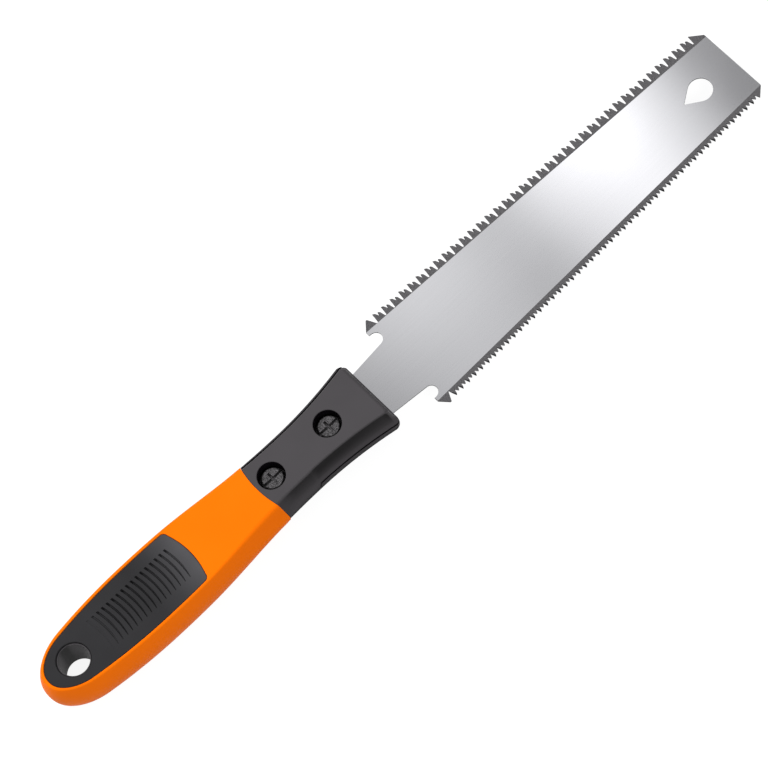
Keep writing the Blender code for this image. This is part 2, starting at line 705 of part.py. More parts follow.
# The empty carries every piece, and centres the saw's outline on the origin
frame = bpy.data.objects.new("saw_frame", None)
saw.objects.link(frame)
saw_outline = blade_outline()
reach = [y for x, y in saw_outline]
frame.location = (-TIP_POSITION / 2, -(max(reach) + min(reach)) / 2, 0)

orange = make_material("orange_overmould", (1.0, 0.24, 0.006), 0.45)
rubber = make_material("dark_rubber", (0.043, 0.041, 0.045), 0.6)
black = make_material("black_plastic", (0.09, 0.085, 0.09), 0.45)
zinc = make_material("dark_zinc_steel", (0.2, 0.19, 0.2), 0.35, 1.0)
steel = make_material("blade_steel", (0.62, 0.62, 0.64), 0.3, 1.0)

grip_sleeve()
grip_pads()
handle_core()
clamp_cover()
clamp_screws()
clamp_nuts()
blade(saw_outline)
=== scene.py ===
import math

import bmesh
import bpy
from mathutils import Matrix, Vector


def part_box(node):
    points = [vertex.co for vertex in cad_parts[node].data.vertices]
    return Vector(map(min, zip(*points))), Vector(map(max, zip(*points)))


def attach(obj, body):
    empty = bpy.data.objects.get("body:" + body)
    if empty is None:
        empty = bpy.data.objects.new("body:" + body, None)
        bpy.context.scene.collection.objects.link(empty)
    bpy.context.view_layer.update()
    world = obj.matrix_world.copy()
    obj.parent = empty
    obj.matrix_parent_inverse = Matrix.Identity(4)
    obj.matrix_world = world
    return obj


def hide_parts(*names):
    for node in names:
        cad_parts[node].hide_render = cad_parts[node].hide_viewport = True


# A double-edged pull saw: its surfaces, teeth and ribs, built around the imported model. Every mesh is
# drawn in the saw's own place: X from the butt of the grip, Y across the blade (coarse teeth on +Y,
# fine teeth on -Y) and Z up from the face that the handle lies on.
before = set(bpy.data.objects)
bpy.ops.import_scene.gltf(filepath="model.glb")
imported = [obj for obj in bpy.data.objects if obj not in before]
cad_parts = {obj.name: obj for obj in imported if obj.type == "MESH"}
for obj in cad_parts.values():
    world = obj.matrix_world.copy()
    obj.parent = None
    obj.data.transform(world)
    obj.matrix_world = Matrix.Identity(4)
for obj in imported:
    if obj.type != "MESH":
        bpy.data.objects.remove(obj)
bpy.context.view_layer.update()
MM = 0.001


# Grip sleeve. An orange elastomer skin moulded over the handle's black core, smooth and satin. It
# bulges to fill the palm and draws in to a neck, and each face has a window for a rubber pad.
GAP = 0.3 * MM
GRIP_LENGTH = 93.6 * MM
CLAMP_LENGTH = 49.7 * MM
HANDLE_LENGTH = GRIP_LENGTH + CLAMP_LENGTH
HANDLE_THICKNESS = 16.0 * MM
MIDDLE = HANDLE_THICKNESS / 2
BUTT_TAPER = 4.7 * MM
BUTT_ROUND_LENGTH = 16.0 * MM
BUTT_FACE_SETBACK = 2.3 * MM
BUTT_ROUND_POWER = 2.3
PALM_HALF_WIDTH = 14.3 * MM
PALM_START = 45.0 * MM
PALM_END = 47.5 * MM
NECK_HALF_WIDTH = 11.83 * MM
NECK_POSITION = GRIP_LENGTH + 16.5 * MM
CLAMP_FRONT_HALF_WIDTH = 15.25 * MM
GRIP_SIDE_INSET = 2.5 * MM
CLAMP_SIDE_INSET = 4.15 * MM
FACE_EDGE_RADIUS = 0.6 * MM
NECK_EDGE_RADIUS = 1.3 * MM
GRIP_SIDE_POWER = 2.0
NECK_SIDE_POWER = 1.1
CLAMP_SIDE_POWER = 0.5
SIDE_CHANGE_START = 60.0 * MM
HOLLOW_GROWTH_LENGTH = 8.0 * MM
STRAIGHT_SIDE = 2.0 * MM
JOINT_ARC_RADIUS = 38.0 * MM
JOINT_GAP = 0.1 * MM
SLEEVE_SIDE_WALL = 1.6 * MM
SLEEVE_FACE_WALL = 2.2 * MM
TRIM_LENGTH = 5.0 * MM
WINDOW_RIM_RADIUS = 0.25 * MM
PAD_RIM = 0.1 * MM
PAD_GAP = 0.1 * MM
PAD_ROUND_LENGTH = 12.0 * MM
PAD_FRONT = 62.6 * MM
PAD_FRONT_BULGE = 1.5 * MM
PAD_FRONT_CORNER = 1.8 * MM

# Points round an outline's butt, along its side beside the pad, ahead of the pad, across the joint
# and round a corner, heights up a side, and how close points are that count as one
BUTT_POINTS = 24
SIDE_POINTS = 40
NECK_POINTS = 24
ARC_POINTS = 12
CORNER_POINTS = 8
SIDE_LEVELS = 14
CLOSE = 1e-7


def mix(first, second, share):
    """The value a share of the way from first to second."""
    return first + (second - first) * share


def blend(value, low, high):
    """Smooth change from 0 to 1 as value goes from low to high."""
    share = min(max((value - low) / (high - low), 0.0), 1.0)
    return share * share * (3 - 2 * share)


def side_half_width(distance):
    """Half width of the handle at mid height, before the butt is rounded off."""
    if distance < PALM_START:
        return PALM_HALF_WIDTH - BUTT_TAPER * (1 - distance / PALM_START) ** 2
    if distance < NECK_POSITION:
        share = max(0.0, (distance - PALM_END) / (NECK_POSITION - PALM_END))
        return mix(PALM_HALF_WIDTH, NECK_HALF_WIDTH, (1 - math.cos(math.pi * share)) / 2)
    share = (distance - NECK_POSITION) / (HANDLE_LENGTH - NECK_POSITION)
    return NECK_HALF_WIDTH + (CLAMP_FRONT_HALF_WIDTH - NECK_HALF_WIDTH) * share ** 2


def side_inset(rise, full_rise, distance, edge=FACE_EDGE_RADIUS):
    """How far the side stands inside its widest line, rise above or below that line."""
    along = blend(distance, SIDE_CHANGE_START, GRIP_LENGTH)
    hollow = blend(distance, GRIP_LENGTH, GRIP_LENGTH + HOLLOW_GROWTH_LENGTH)
    power = mix(mix(GRIP_SIDE_POWER, NECK_SIDE_POWER, along), CLAMP_SIDE_POWER, hollow)
    face_inset = mix(GRIP_SIDE_INSET, CLAMP_SIDE_INSET, along)
    lean = (face_inset - edge) * (rise / full_rise) ** power
    share = max(0.0, (rise - full_rise) / edge + 1)
    return lean + edge * (1 - math.sqrt(max(0.0, 1 - share * share)))


def grip_inset(rise, distance):
    """Inset of the grip, whose sides turn upright at mid height where they meet the clamp."""
    neck = blend(distance, SIDE_CHANGE_START, GRIP_LENGTH)
    upright = STRAIGHT_SIDE / 2 * neck
    edge = mix(FACE_EDGE_RADIUS, NECK_EDGE_RADIUS, neck)
    return side_inset(max(0.0, rise - upright), MIDDLE - upright, distance, edge)


def joint_line(across, offset):
    """Where the arc between grip and clamp lies, at a distance from the centre line."""
    return GRIP_LENGTH + JOINT_ARC_RADIUS - math.sqrt((JOINT_ARC_RADIUS + offset) ** 2 - across ** 2)


def meets_joint(half_width, offset):
    """Where a side of the handle meets that arc, found in a few rounds."""
    distance = GRIP_LENGTH
    for _ in range(6):
        distance = joint_line(half_width(distance), offset)
    return distance


def along_side(start, end, steps, half_width):
    """Points of a side from start to end, as far out as half_width says."""
    places = [mix(start, end, step / steps) for step in range(steps + 1)]
    return [(distance, half_width(distance)) for distance in places]


def arc(along, across, radius, first, last, steps=CORNER_POINTS):
    """Points round a centre from one angle to another, 0 being straight ahead."""
    angles = [mix(first, last, step / steps) for step in range(steps + 1)]
    return [(along + radius * math.cos(angle), across + radius * math.sin(angle)) for angle in angles]


def grip_side(start, round_length, end, half_width):
    """One side of a grip's outline, from the middle of the butt to its front end."""
    points = []
    power = 2 / BUTT_ROUND_POWER
    for step in range(BUTT_POINTS):
        angle = math.pi / 2 * step / BUTT_POINTS
        distance = start + round_length * (1 - math.cos(angle) ** power)
        points.append((distance, half_width(distance) * math.sin(angle) ** power))
    return points + along_side(start + round_length, end, SIDE_POINTS, half_width)


def both_sides(points):
    """Closed outline from one side's points, mirrored across the centre line."""
    return list(points) + [(x, -y) for x, y in reversed(points) if y > CLOSE]


def sleeve_ring(rise):
    """Outline of the sleeve at a height above or below mid thickness."""
    above = abs(rise)
    setback = BUTT_FACE_SETBACK * grip_inset(above, 0) / GRIP_SIDE_INSET

    def half_width(distance):
        return side_half_width(distance) - grip_inset(above, distance)

    beside_pad = PAD_FRONT - PAD_FRONT_CORNER
    side = grip_side(setback, BUTT_ROUND_LENGTH - setback, beside_pad, half_width)
    side += along_side(beside_pad, meets_joint(half_width, JOINT_GAP / 2), NECK_POINTS, half_width)[1:]
    corner = side[-1][1]
    for step in range(1, ARC_POINTS + 1):
        across = corner * (1 - step / ARC_POINTS)
        side.append((joint_line(across, JOINT_GAP / 2), across))
    return MIDDLE + rise, both_sides(side)


def pad_ring(height, grow):
    """Outline of a rubber pad, or of the window round it when grown."""
    border = PAD_RIM + GAP - grow

    def half_width(distance):
        return side_half_width(distance) - (GRIP_SIDE_INSET + border)

    end = PAD_FRONT + grow
    corner = PAD_FRONT_CORNER + grow
    side = grip_side(BUTT_FACE_SETBACK + border, PAD_ROUND_LENGTH, end - corner, half_width)
    across = side[-1][1] - corner
    side += arc(end - corner, across, corner, math.pi / 2, 0)[1:]
    front_steps = NECK_POINTS + ARC_POINTS - CORNER_POINTS
    for step in range(1, front_steps + 1):
        share = 1 - step / front_steps
        side.append((end + PAD_FRONT_BULGE * (1 - share * share), across * share))
    return height, both_sides(side)


def side_rises(full_rise, edge=FACE_EDGE_RADIUS, edge_levels=6):
    """Heights up a side, fine at its foot and where it rounds over into the flat face."""
    knee = full_rise - edge
    rises = [knee * (1 - math.cos(math.pi * level / SIDE_LEVELS)) / 2 for level in range(SIDE_LEVELS)]
    rises += [knee + edge * math.sin(math.pi / 2 * level / edge_levels) for level in range(edge_levels + 1)]
    return rises


def rounded_edge(radius, steps=4):
    """Steps round a quarter circle, as (drop below the face, distance from the wall)."""
    angles = [math.pi / 2 * step / steps for step in range(steps + 1)]
    return [(radius * (1 - math.sin(angle)), radius * (1 - math.cos(angle))) for angle in angles]


def link(obj):
    """Put an object into the scene."""
    bpy.context.scene.collection.objects.link(obj)
    return obj


def mesh_object(name, bm):
    """Object made from a bmesh, with its faces pointing out."""
    bmesh.ops.recalc_face_normals(bm, faces=bm.faces)
    mesh = bpy.data.meshes.new(name)
    bm.to_mesh(mesh)
    bm.free()
    return link(bpy.data.objects.new(name, mesh))


def reshape(obj, change):
    """Change an object's mesh by a function of its bmesh."""
    bm = bmesh.new()
    bm.from_mesh(obj.data)
    change(bm)
    bm.to_mesh(obj.data)
    bm.free()


def loft(name, rings, ends=True):
    """Skin through a stack of outlines (height, points): capped, or joined back to the first."""
    bm = bmesh.new()
    loops = [[bm.verts.new((x, y, height)) for x, y in points] for height, points in rings]
    if ends:
        bm.faces.new(list(reversed(loops[0])))
        bm.faces.new(loops[-1])
        pairs = list(zip(loops, loops[1:]))
    else:
        pairs = list(zip(loops, loops[1:] + loops[:1]))
    count = len(loops[0])
    for lower, upper in pairs:
        for index in range(count):
            after = (index + 1) % count
            bm.faces.new((lower[index], lower[after], upper[after], upper[index]))
    return mesh_object(name, bm)


def core_shape(name, gap):
    """The core, this far from the walls of the room for it in the sleeve, with a square front end."""
    wall = SLEEVE_SIDE_WALL + gap
    end = GRIP_LENGTH + TRIM_LENGTH + GAP - gap
    rises = side_rises(MIDDLE - SLEEVE_FACE_WALL - gap)
    rings = []
    for rise in [-rise for rise in reversed(rises)] + rises[1:]:
        above = abs(rise)
        setback = BUTT_FACE_SETBACK * grip_inset(above, 0) / GRIP_SIDE_INSET

        def half_width(distance):
            return side_half_width(distance) - (wall + grip_inset(above, distance))

        side = grip_side(wall + setback, BUTT_ROUND_LENGTH - setback, end, half_width)
        rings.append((MIDDLE + rise, both_sides(side)))
    return loft(name, rings)


def settle(obj):
    """Make an object's modifiers part of its mesh."""
    bpy.context.view_layer.update()
    mesh = bpy.data.meshes.new_from_object(obj.evaluated_get(bpy.context.evaluated_depsgraph_get()))
    obj.modifiers.clear()
    obj.data = mesh


def cut(obj, cutter, operation='DIFFERENCE'):
    """Cut one solid from another, or join it, at once."""
    modifier = obj.modifiers.new(cutter.name, 'BOOLEAN')
    modifier.object = cutter
    modifier.operation = operation
    modifier.solver = 'MANIFOLD'
    modifier.material_mode = 'TRANSFER'
    settle(obj)
    bpy.data.objects.remove(cutter)


sleeve_low, sleeve_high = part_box("grip_sleeve")
saw_place = Vector((sleeve_low.x, (sleeve_low.y + sleeve_high.y) / 2, 0))


def place(obj, body, nodes, material=None, degrees=32):
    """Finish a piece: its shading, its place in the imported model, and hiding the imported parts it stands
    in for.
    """
    if material is not None:
        obj.data.materials.clear()
        obj.data.materials.append(material)
    obj.data.transform(Matrix.Translation(saw_place))
    obj.data.shade_smooth()
    obj.data.set_sharp_from_angle(angle=math.radians(degrees))
    weighted = obj.modifiers.new("flat faces stay flat", 'WEIGHTED_NORMAL')
    weighted.keep_sharp = True
    settle(obj)
    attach(obj, body)
    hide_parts(*nodes)


def feed(tree, sockets, values):
    """Give a node's sockets their values, or link them to the outputs that feed them."""
    for name, value in values.items():
        if isinstance(value, bpy.types.NodeSocket):
            tree.links.new(value, sockets[name])
        else:
            sockets[name].default_value = value


def add_node(tree, kind, inputs=None, **settings):
    """New node in a tree, with its own settings and what its inputs are given."""
    node = tree.nodes.new(kind)
    for name, value in settings.items():
        setattr(node, name, value)
    feed(tree, node.inputs, inputs or {})
    return node


def calculate(tree, operation, *values):
    """What a math node makes of its values."""
    return add_node(tree, 'ShaderNodeMath', dict(enumerate(values)), operation=operation).outputs[0]


def new_group(name, kind, inputs, outputs):
    """Empty node tree with named, typed sockets: the tree, what it is given and what it makes."""
    tree = bpy.data.node_groups.new(name, kind)
    for way, sockets in (('INPUT', inputs), ('OUTPUT', outputs)):
        for label, socket in sockets.items():
            tree.interface.new_socket(label, in_out=way, socket_type='NodeSocket' + socket)
    return tree, add_node(tree, 'NodeGroupInput').outputs, add_node(tree, 'NodeGroupOutput').inputs


def new_material(name, colour, roughness, metallic=0.0, specular=0.5):
    """Principled material, its node tree and the inputs of its shader."""
    material = bpy.data.materials.new(name)
    material.use_nodes = True
    tree = material.node_tree
    shader = tree.nodes["Principled BSDF"].inputs
    feed(tree, shader, {"Base Color": (*colour, 1), "Roughness": roughness, "Metallic": metallic,
                        "Specular IOR Level": specular})
    return material, tree, shader


def tone_ramp(tree, value, low, high, first=0.0, last=1.0):
    """Colour that goes from low to high as a value goes from first to last."""
    ramp = add_node(tree, 'ShaderNodeValToRGB', {"Fac": value})
    for stop, position, colour in zip(ramp.color_ramp.elements, (first, last), (low, high)):
        stop.position = position
        stop.color = (*colour, 1)
    return ramp.outputs["Color"]


def noise(tree, place_on, scale, detail):
    """Cloudy values from 0 to 1, this many clouds to a metre."""
    inputs = {"Vector": place_on, "Scale": scale, "Detail": detail}
    return add_node(tree, 'ShaderNodeTexNoise', inputs).outputs["Fac"]


def coordinate(tree, axis=None, kind="Object"):
    """Where a surface's point lies on its object, or which way it faces there, or one axis of that."""
    whole = add_node(tree, 'ShaderNodeTexCoord').outputs[kind]
    if axis is None:
        return whole
    return add_node(tree, 'ShaderNodeSeparateXYZ', {"Vector": whole}).outputs[axis]


def spread(tree, value, low=0.0, high=1.0, first=0.0, last=1.0):
    """A value between first and last, spread over the range from low to high."""
    inputs = {"Value": value, "From Min": first, "From Max": last, "To Min": low, "To Max": high}
    return add_node(tree, 'ShaderNodeMapRange', inputs).outputs["Result"]


DRIFT_PER_METRE = 60.0
GRAIN_ROUGHNESS = 0.08


def moulded_grain_group():
    """Fine spark-eroded grain of a moulded surface, and the slow drift of its tone."""
    tree, given, made = new_group(
        "Moulded grain", 'ShaderNodeTree', {"Grain size mm": 'Float', "Depth mm": 'Float', "Drift": 'Float'},
        {"Tone": 'Float', "Grain": 'Float', "Normal": 'Vector'})
    place_on = coordinate(tree)
    grain = noise(tree, place_on, calculate(tree, 'DIVIDE', 1 / MM, given["Grain size mm"]), detail=3.0)
    drift = calculate(tree, 'SUBTRACT', noise(tree, place_on, DRIFT_PER_METRE, detail=2.0), 0.5)
    depth = calculate(tree, 'MULTIPLY', given["Depth mm"], MM)
    bump = add_node(tree, 'ShaderNodeBump', {"Height": grain, "Distance": depth})
    tone = calculate(tree, 'MULTIPLY_ADD', drift, given["Drift"], 0.5)
    feed(tree, made, {"Tone": tone, "Grain": grain, "Normal": bump.outputs["Normal"]})
    return tree


moulded_grain = moulded_grain_group()


def moulded_material(name, low, high, roughness, specular, grain_size, depth, drift):
    """Moulded plastic or rubber: two near tones, grain in its roughness and a fine bump."""
    middle = mix(Vector(low), Vector(high), 0.5)
    material, tree, shader = new_material(name, middle, roughness, specular=specular)
    sizes = {"Grain size mm": grain_size, "Depth mm": depth, "Drift": drift}
    grain = add_node(tree, 'ShaderNodeGroup', sizes, node_tree=moulded_grain).outputs
    feed(tree, shader, {
        "Base Color": tone_ramp(tree, grain["Tone"], low, high),
        "Roughness": spread(tree, grain["Grain"], roughness - GRAIN_ROUGHNESS, roughness + GRAIN_ROUGHNESS),
        "Normal": grain["Normal"],
    })
    return material


orange = moulded_material("orange_overmould", low=(0.96, 0.17, 0.001), high=(1.0, 0.192, 0.002),
                          roughness=0.5, specular=0.05, grain_size=0.5, depth=0.004, drift=0.8)

window = [pad_ring(HANDLE_THICKNESS - drop, PAD_GAP + out) for drop, out in rounded_edge(WINDOW_RIM_RADIUS)]
skin = [sleeve_ring(rise) for rise in reversed(side_rises(MIDDLE, NECK_EDGE_RADIUS, edge_levels=16))]
upper_rings = window + skin
lower_rings = [(HANDLE_THICKNESS - height, points) for height, points in reversed(upper_rings[:-1])]
grip_sleeve = loft("orange_grip_sleeve", upper_rings + lower_rings, ends=False)
cut(grip_sleeve, core_shape("core_room", 0.0))
place(grip_sleeve, "handle", ["grip_sleeve"], orange)


# Grip pads. Soft dark rubber let into both faces of the grip, a little below the orange, with a row
# of curved ribs for the fingers and a round hole through the butt to hang the saw by.
PAD_TOP = HANDLE_THICKNESS - 0.2 * MM
PAD_BOTTOM = HANDLE_THICKNESS - SLEEVE_FACE_WALL - 0.28 * MM
PAD_EDGE_RADIUS = 0.3 * MM
HANG_HOLE_POSITION = 13.3 * MM
HANG_HOLE_RADIUS = 5.35 * MM
PAD_HOLE_RADIUS = HANG_HOLE_RADIUS + 0.5 * MM
PAD_HOLE_RIM = 0.4 * MM

# The ribs are what stands between grooves. A groove's size is a share of its width and depth: in its
# middle, at its blunt +Y end and at its thin -Y end. The last grooves towards the butt fade out.
GROOVE_COUNT = 17
FADING_GROOVES = 4
FADE_LOWEST = -0.15
GROOVE_FIRST = PAD_FRONT - 3.8 * MM
GROOVE_PITCH = 2.09 * MM
GROOVE_WIDTH = 0.58 * MM
GROOVE_DEPTH = 0.85 * MM
GROOVE_HALF_SPAN = 7.1 * MM
GROOVE_BULGE = 0.85 * MM
GROOVE_SIZES = {"middle": 1.25, "blunt": 1.5, "thin": 0.8}
GROOVE_POWERS = {"blunt": 24, "thin": 4}


def turned(name, profile, steps=64):
    """Solid of revolution about Z from (radius, height) points that start and end on the axis."""
    bm = bmesh.new()
    verts = [bm.verts.new((radius, 0, height)) for radius, height in profile]
    edges = [bm.edges.new(pair) for pair in zip(verts, verts[1:])]
    bmesh.ops.spin(bm, geom=verts + edges, axis=(0, 0, 1), cent=(0, 0, 0), angle=2 * math.pi, steps=steps)
    bmesh.ops.remove_doubles(bm, verts=bm.verts, dist=CLOSE)
    return mesh_object(name, bm)


def flared_cutter(name, radius, rim, low, high, position):
    """Round cutter that flares at a face, so that the hole it makes has a rounded rim."""
    profile = [(0.0, low), (radius, low)]
    profile += [(radius + out, high - drop) for drop, out in rounded_edge(rim, 6)]
    profile += [(radius + rim, high + rim), (0.0, high + rim)]
    cutter = turned(name, profile)
    cutter.data.transform(Matrix.Translation((position, 0, 0)))
    return cutter


def groove_shape(steps=28, around=12):
    """One rib groove: blunt at the +Y end, running out to nothing at the -Y end."""
    bm = bmesh.new()
    rings = []
    for step in range(1, steps):
        share = mix(-1, 1, step / steps)
        end = "blunt" if share > 0 else "thin"
        size = mix(GROOVE_SIZES["middle"], GROOVE_SIZES[end], abs(share))
        size *= (1 - share ** GROOVE_POWERS[end]) ** 0.5
        along = GROOVE_BULGE * (0.5 - share * share)
        ring = []
        for turn in range(around):
            angle = 2 * math.pi * turn / around
            x = along + GROOVE_WIDTH / 2 * size * math.cos(angle)
            ring.append(bm.verts.new((x, GROOVE_HALF_SPAN * share, GROOVE_DEPTH * size * math.sin(angle))))
        rings.append(ring)
    for near, far in zip(rings, rings[1:]):
        for turn in range(around):
            after = (turn + 1) % around
            bm.faces.new((near[turn], near[after], far[after], far[turn]))
    bm.faces.new(rings[0])
    bm.faces.new(rings[-1])
    return mesh_object("rib_groove", bm)


def copies_in_a_row(tree, part, count, first, spacing, height=0.0, size=(1, 1, 1)):
    """Geometry nodes that set copies of a part at an even spacing along X."""
    start = add_node(tree, 'ShaderNodeCombineXYZ', {"X": first, "Z": height}).outputs[0]
    step = add_node(tree, 'ShaderNodeCombineXYZ', {"X": spacing}).outputs[0]
    row = add_node(tree, 'GeometryNodeMeshLine', {"Count": count, "Start Location": start, "Offset": step})
    shape = add_node(tree, 'GeometryNodeObjectInfo', {"Object": part})
    copies = {"Points": row.outputs["Mesh"], "Instance": shape.outputs["Geometry"], "Scale": size}
    return add_node(tree, 'GeometryNodeInstanceOnPoints', copies).outputs["Instances"]


def geometry_tree(name, **inputs):
    """Geometry nodes with a shape in, a shape out and named inputs besides."""
    return new_group(name, 'GeometryNodeTree', {"Geometry": 'Geometry', **inputs}, {"Geometry": 'Geometry'})


def finish_tree(tree, made, shape, material):
    """The last nodes of a tree: its copies made real and given their material."""
    real = add_node(tree, 'GeometryNodeRealizeInstances', {"Geometry": shape}).outputs["Geometry"]
    finish = add_node(tree, 'GeometryNodeSetMaterial', {"Geometry": real, "Material": material})
    feed(tree, made, {"Geometry": finish.outputs["Geometry"]})
    return tree


def grooves_tree():
    """Geometry nodes that cut a row of like grooves into a pad, the last of them fading out."""
    tree, given, made = geometry_tree(
        "Row of rib grooves", Groove='Object', Count='Int', Fading='Int', Pitch='Float', First='Float',
        Height='Float', Material='Material')
    towards_butt = calculate(tree, 'MULTIPLY', given["Pitch"], -1)
    number = add_node(tree, 'GeometryNodeInputIndex').outputs["Index"]
    from_end = calculate(tree, 'SUBTRACT', given["Count"], number)
    fade = spread(tree, from_end, low=FADE_LOWEST, last=given["Fading"])
    size = add_node(tree, 'ShaderNodeCombineXYZ', {"X": 1, "Y": 1, "Z": fade}).outputs[0]
    grooves = copies_in_a_row(tree, given["Groove"], given["Count"], given["First"], towards_butt,
                              given["Height"], size)
    carved = add_node(tree, 'GeometryNodeMeshBoolean', {"Mesh 1": given["Geometry"], "Mesh 2": grooves},
                      operation='DIFFERENCE', solver='MANIFOLD')
    return finish_tree(tree, made, carved.outputs["Mesh"], given["Material"])


def run_tree(obj, tree, **inputs):
    """Run geometry nodes on an object, each input set by its socket's identifier."""
    modifier = obj.modifiers.new(tree.name, 'NODES')
    modifier.node_group = tree
    sockets = {item.name: item.identifier for item in tree.interface.items_tree if item.in_out == 'INPUT'}
    for label, value in inputs.items():
        modifier[sockets[label]] = value
    settle(obj)


def shade_by(material, value, stops):
    """Paint light and shade into a material's colour: scale it by a ramp over a value, as (place, factor)
    stops.
    """
    tree = material.node_tree
    ramp = add_node(tree, 'ShaderNodeValToRGB', {"Fac": value(tree)})
    ramp.color_ramp.elements.remove(ramp.color_ramp.elements[-1])
    for index, (position, factor) in enumerate(stops):
        stop = ramp.color_ramp.elements.new(position) if index else ramp.color_ramp.elements[0]
        stop.position = position
        stop.color = (factor, factor, factor, 1)
    base = tree.nodes["Principled BSDF"].inputs["Base Color"]
    colours = {"Factor": 1, 6: base.links[0].from_socket, 7: ramp.outputs["Color"]}
    shaded = add_node(tree, 'ShaderNodeMix', colours, data_type='RGBA', blend_type='MULTIPLY')
    tree.links.new(shaded.outputs[2], base)


def along_ribs(tree):
    """0 at the middle of the pad's ribs and 1 at the pad's front end."""
    return spread(tree, coordinate(tree, "X"), first=saw_place.x + PALM_START, last=saw_place.x + PAD_FRONT)


rubber = moulded_material("grip_rubber", low=(0.047, 0.046, 0.049), high=(0.072, 0.071, 0.076),
                          roughness=0.6, specular=0.12, grain_size=0.22, depth=0.02, drift=1.2)
# Painted light and shade: the rubber is painted paler towards the front of its ribs, darker towards the butt
RUBBER_PAINTED_LIGHT = ((0.0, 0.44), (0.45, 0.61), (0.75, 0.91), (1.0, 1.2))
shade_by(rubber, along_ribs, RUBBER_PAINTED_LIGHT)

rings = [pad_ring(PAD_BOTTOM, 0.0)]
rings += [pad_ring(PAD_TOP - drop, -out) for drop, out in rounded_edge(PAD_EDGE_RADIUS)]
pad = loft("rubber_pad_upper", rings)
cut(pad, flared_cutter("pad_hole", PAD_HOLE_RADIUS, PAD_HOLE_RIM, PAD_BOTTOM - MM, PAD_TOP,
                       HANG_HOLE_POSITION))
groove = groove_shape()
run_tree(pad, grooves_tree(), Groove=groove, Count=GROOVE_COUNT, Fading=FADING_GROOVES,
         Pitch=GROOVE_PITCH, First=GROOVE_FIRST, Height=PAD_TOP, Material=rubber)
bpy.data.objects.remove(groove)
lower_pad = link(bpy.data.objects.new("rubber_pad_lower", pad.data.copy()))
to_middle = Matrix.Translation((0, 0, MIDDLE))
lower_pad.data.transform(to_middle @ Matrix.Rotation(math.pi, 4, 'X') @ to_middle.inverted())
place(pad, "handle", ["grip_pad_upper"])
place(lower_pad, "handle", ["grip_pad_lower"])


# Core and clamp base. One black glass-filled moulding: the stub inside the grip, and ahead of it the
# lower half of the blade clamp, with a lip that stands round the cover and pockets for the nuts.
LIP_HEIGHT = 0.9 * MM
LIP_WIDTH = 0.58 * MM
LIP_WIDTH_REAR = 0.4 * MM
LIP_GROWTH_LENGTH = 18.0 * MM
FINE_SIDE_LIP_START = 109.6 * MM
FINE_SIDE_LIP_FULL = 110.6 * MM
PARTING_GAP = 0.44 * MM
CLAMP_STRAIGHT_SIDE = 1.5 * MM
CLAMP_FRONT_CORNER = 2.8 * MM
CLAMP_FRONT_SETBACK = 2.9 * MM
CLAMP_FRONT_EDGE_RADIUS = 1.9 * MM
CLAMP_FRONT_EDGE_LEVELS = 12
CLAMP_FRONT_LINE = 0.1 * MM
POCKET_WALL = 2.0 * MM
POCKET_HALF_WIDTH = 5.0 * MM
BLADE_THICKNESS = 0.6 * MM
LEDGE_HEIGHT = MIDDLE + BLADE_THICKNESS / 2
CHANNEL_FLOOR = MIDDLE - BLADE_THICKNESS / 2 - GAP
LIP_TOP = LEDGE_HEIGHT + LIP_HEIGHT
BASE_WAIST = LIP_TOP - CLAMP_STRAIGHT_SIDE
REAR_SCREW_POSITION = GRIP_LENGTH + 6.4 * MM
FRONT_SCREW_POSITION = HANDLE_LENGTH - 18.5 * MM
SCREW_POSITIONS = (REAR_SCREW_POSITION, FRONT_SCREW_POSITION)
SCREW_RADIUS = 2.0 * MM
BORE_RADIUS = SCREW_RADIUS + GAP
RECESS_RADIUS = 4.8 * MM
NUT_ACROSS_FLATS = 7.0 * MM
NUT_POCKET_TOP = CHANNEL_FLOOR - 1.8 * MM
TANG_CLEARANCE = 0.4 * MM
TANG_REAR_HALF_WIDTH = 8.6 * MM
TANG_HALF_WIDTH = 9.75 * MM
TANG_REAR = joint_line(TANG_REAR_HALF_WIDTH + TANG_CLEARANCE, 0) + TANG_CLEARANCE + GAP
EDGE_BREAK = 0.12 * MM
EYELET_WALL = 0.27 * MM
EYELET_DROP = 0.9 * MM


def lip_width(distance, side):
    """Width of the lip round the cover. On the fine side (-1) it starts some way ahead of the grip."""
    if side < 0:
        return mix(-PARTING_GAP, LIP_WIDTH, blend(distance, FINE_SIDE_LIP_START, FINE_SIDE_LIP_FULL))
    return mix(LIP_WIDTH_REAR, LIP_WIDTH, blend(distance, GRIP_LENGTH, GRIP_LENGTH + LIP_GROWTH_LENGTH))


def two_sides(side_points):
    """Closed outline from a function that gives the points of the +Y side (1) or the -Y side (-1)."""
    other = [(x, -y) for x, y in reversed(side_points(-1)) if y > CLOSE]
    return side_points(1) + other


def clamp_ring(height, rise, full_rise, outer, front_line=0.0):
    """Outline of the clamp at one height, from the arc at its rear to its rounded front corners."""
    reach = side_inset(rise, full_rise, HANDLE_LENGTH, CLAMP_FRONT_EDGE_RADIUS) / CLAMP_SIDE_INSET
    front = HANDLE_LENGTH - front_line - (CLAMP_FRONT_SETBACK - front_line) * reach
    corner = (CLAMP_FRONT_CORNER - outer(HANDLE_LENGTH, 1)) * (1 - reach / 2)

    def side_points(side):
        def half_width(distance):
            start = outer(distance, side)
            inset = start + side_inset(rise, full_rise, distance) * (1 - start / CLAMP_SIDE_INSET)
            return side_half_width(distance) - inset

        rear = meets_joint(half_width, -JOINT_GAP / 2)
        points = []
        for step in range(ARC_POINTS):
            across = half_width(rear) * step / ARC_POINTS
            points.append((joint_line(across, -JOINT_GAP / 2), across))
        points += along_side(rear, front - corner, SIDE_POINTS, half_width)[:-1]
        across = half_width(front - corner) - corner
        return points + arc(front - corner, across, corner, math.pi / 2, 0)

    return height, two_sides(side_points)


def outline_solid(name, points, low, high):
    """Upright solid of one outline."""
    return loft(name, [(low, points), (high, points)])


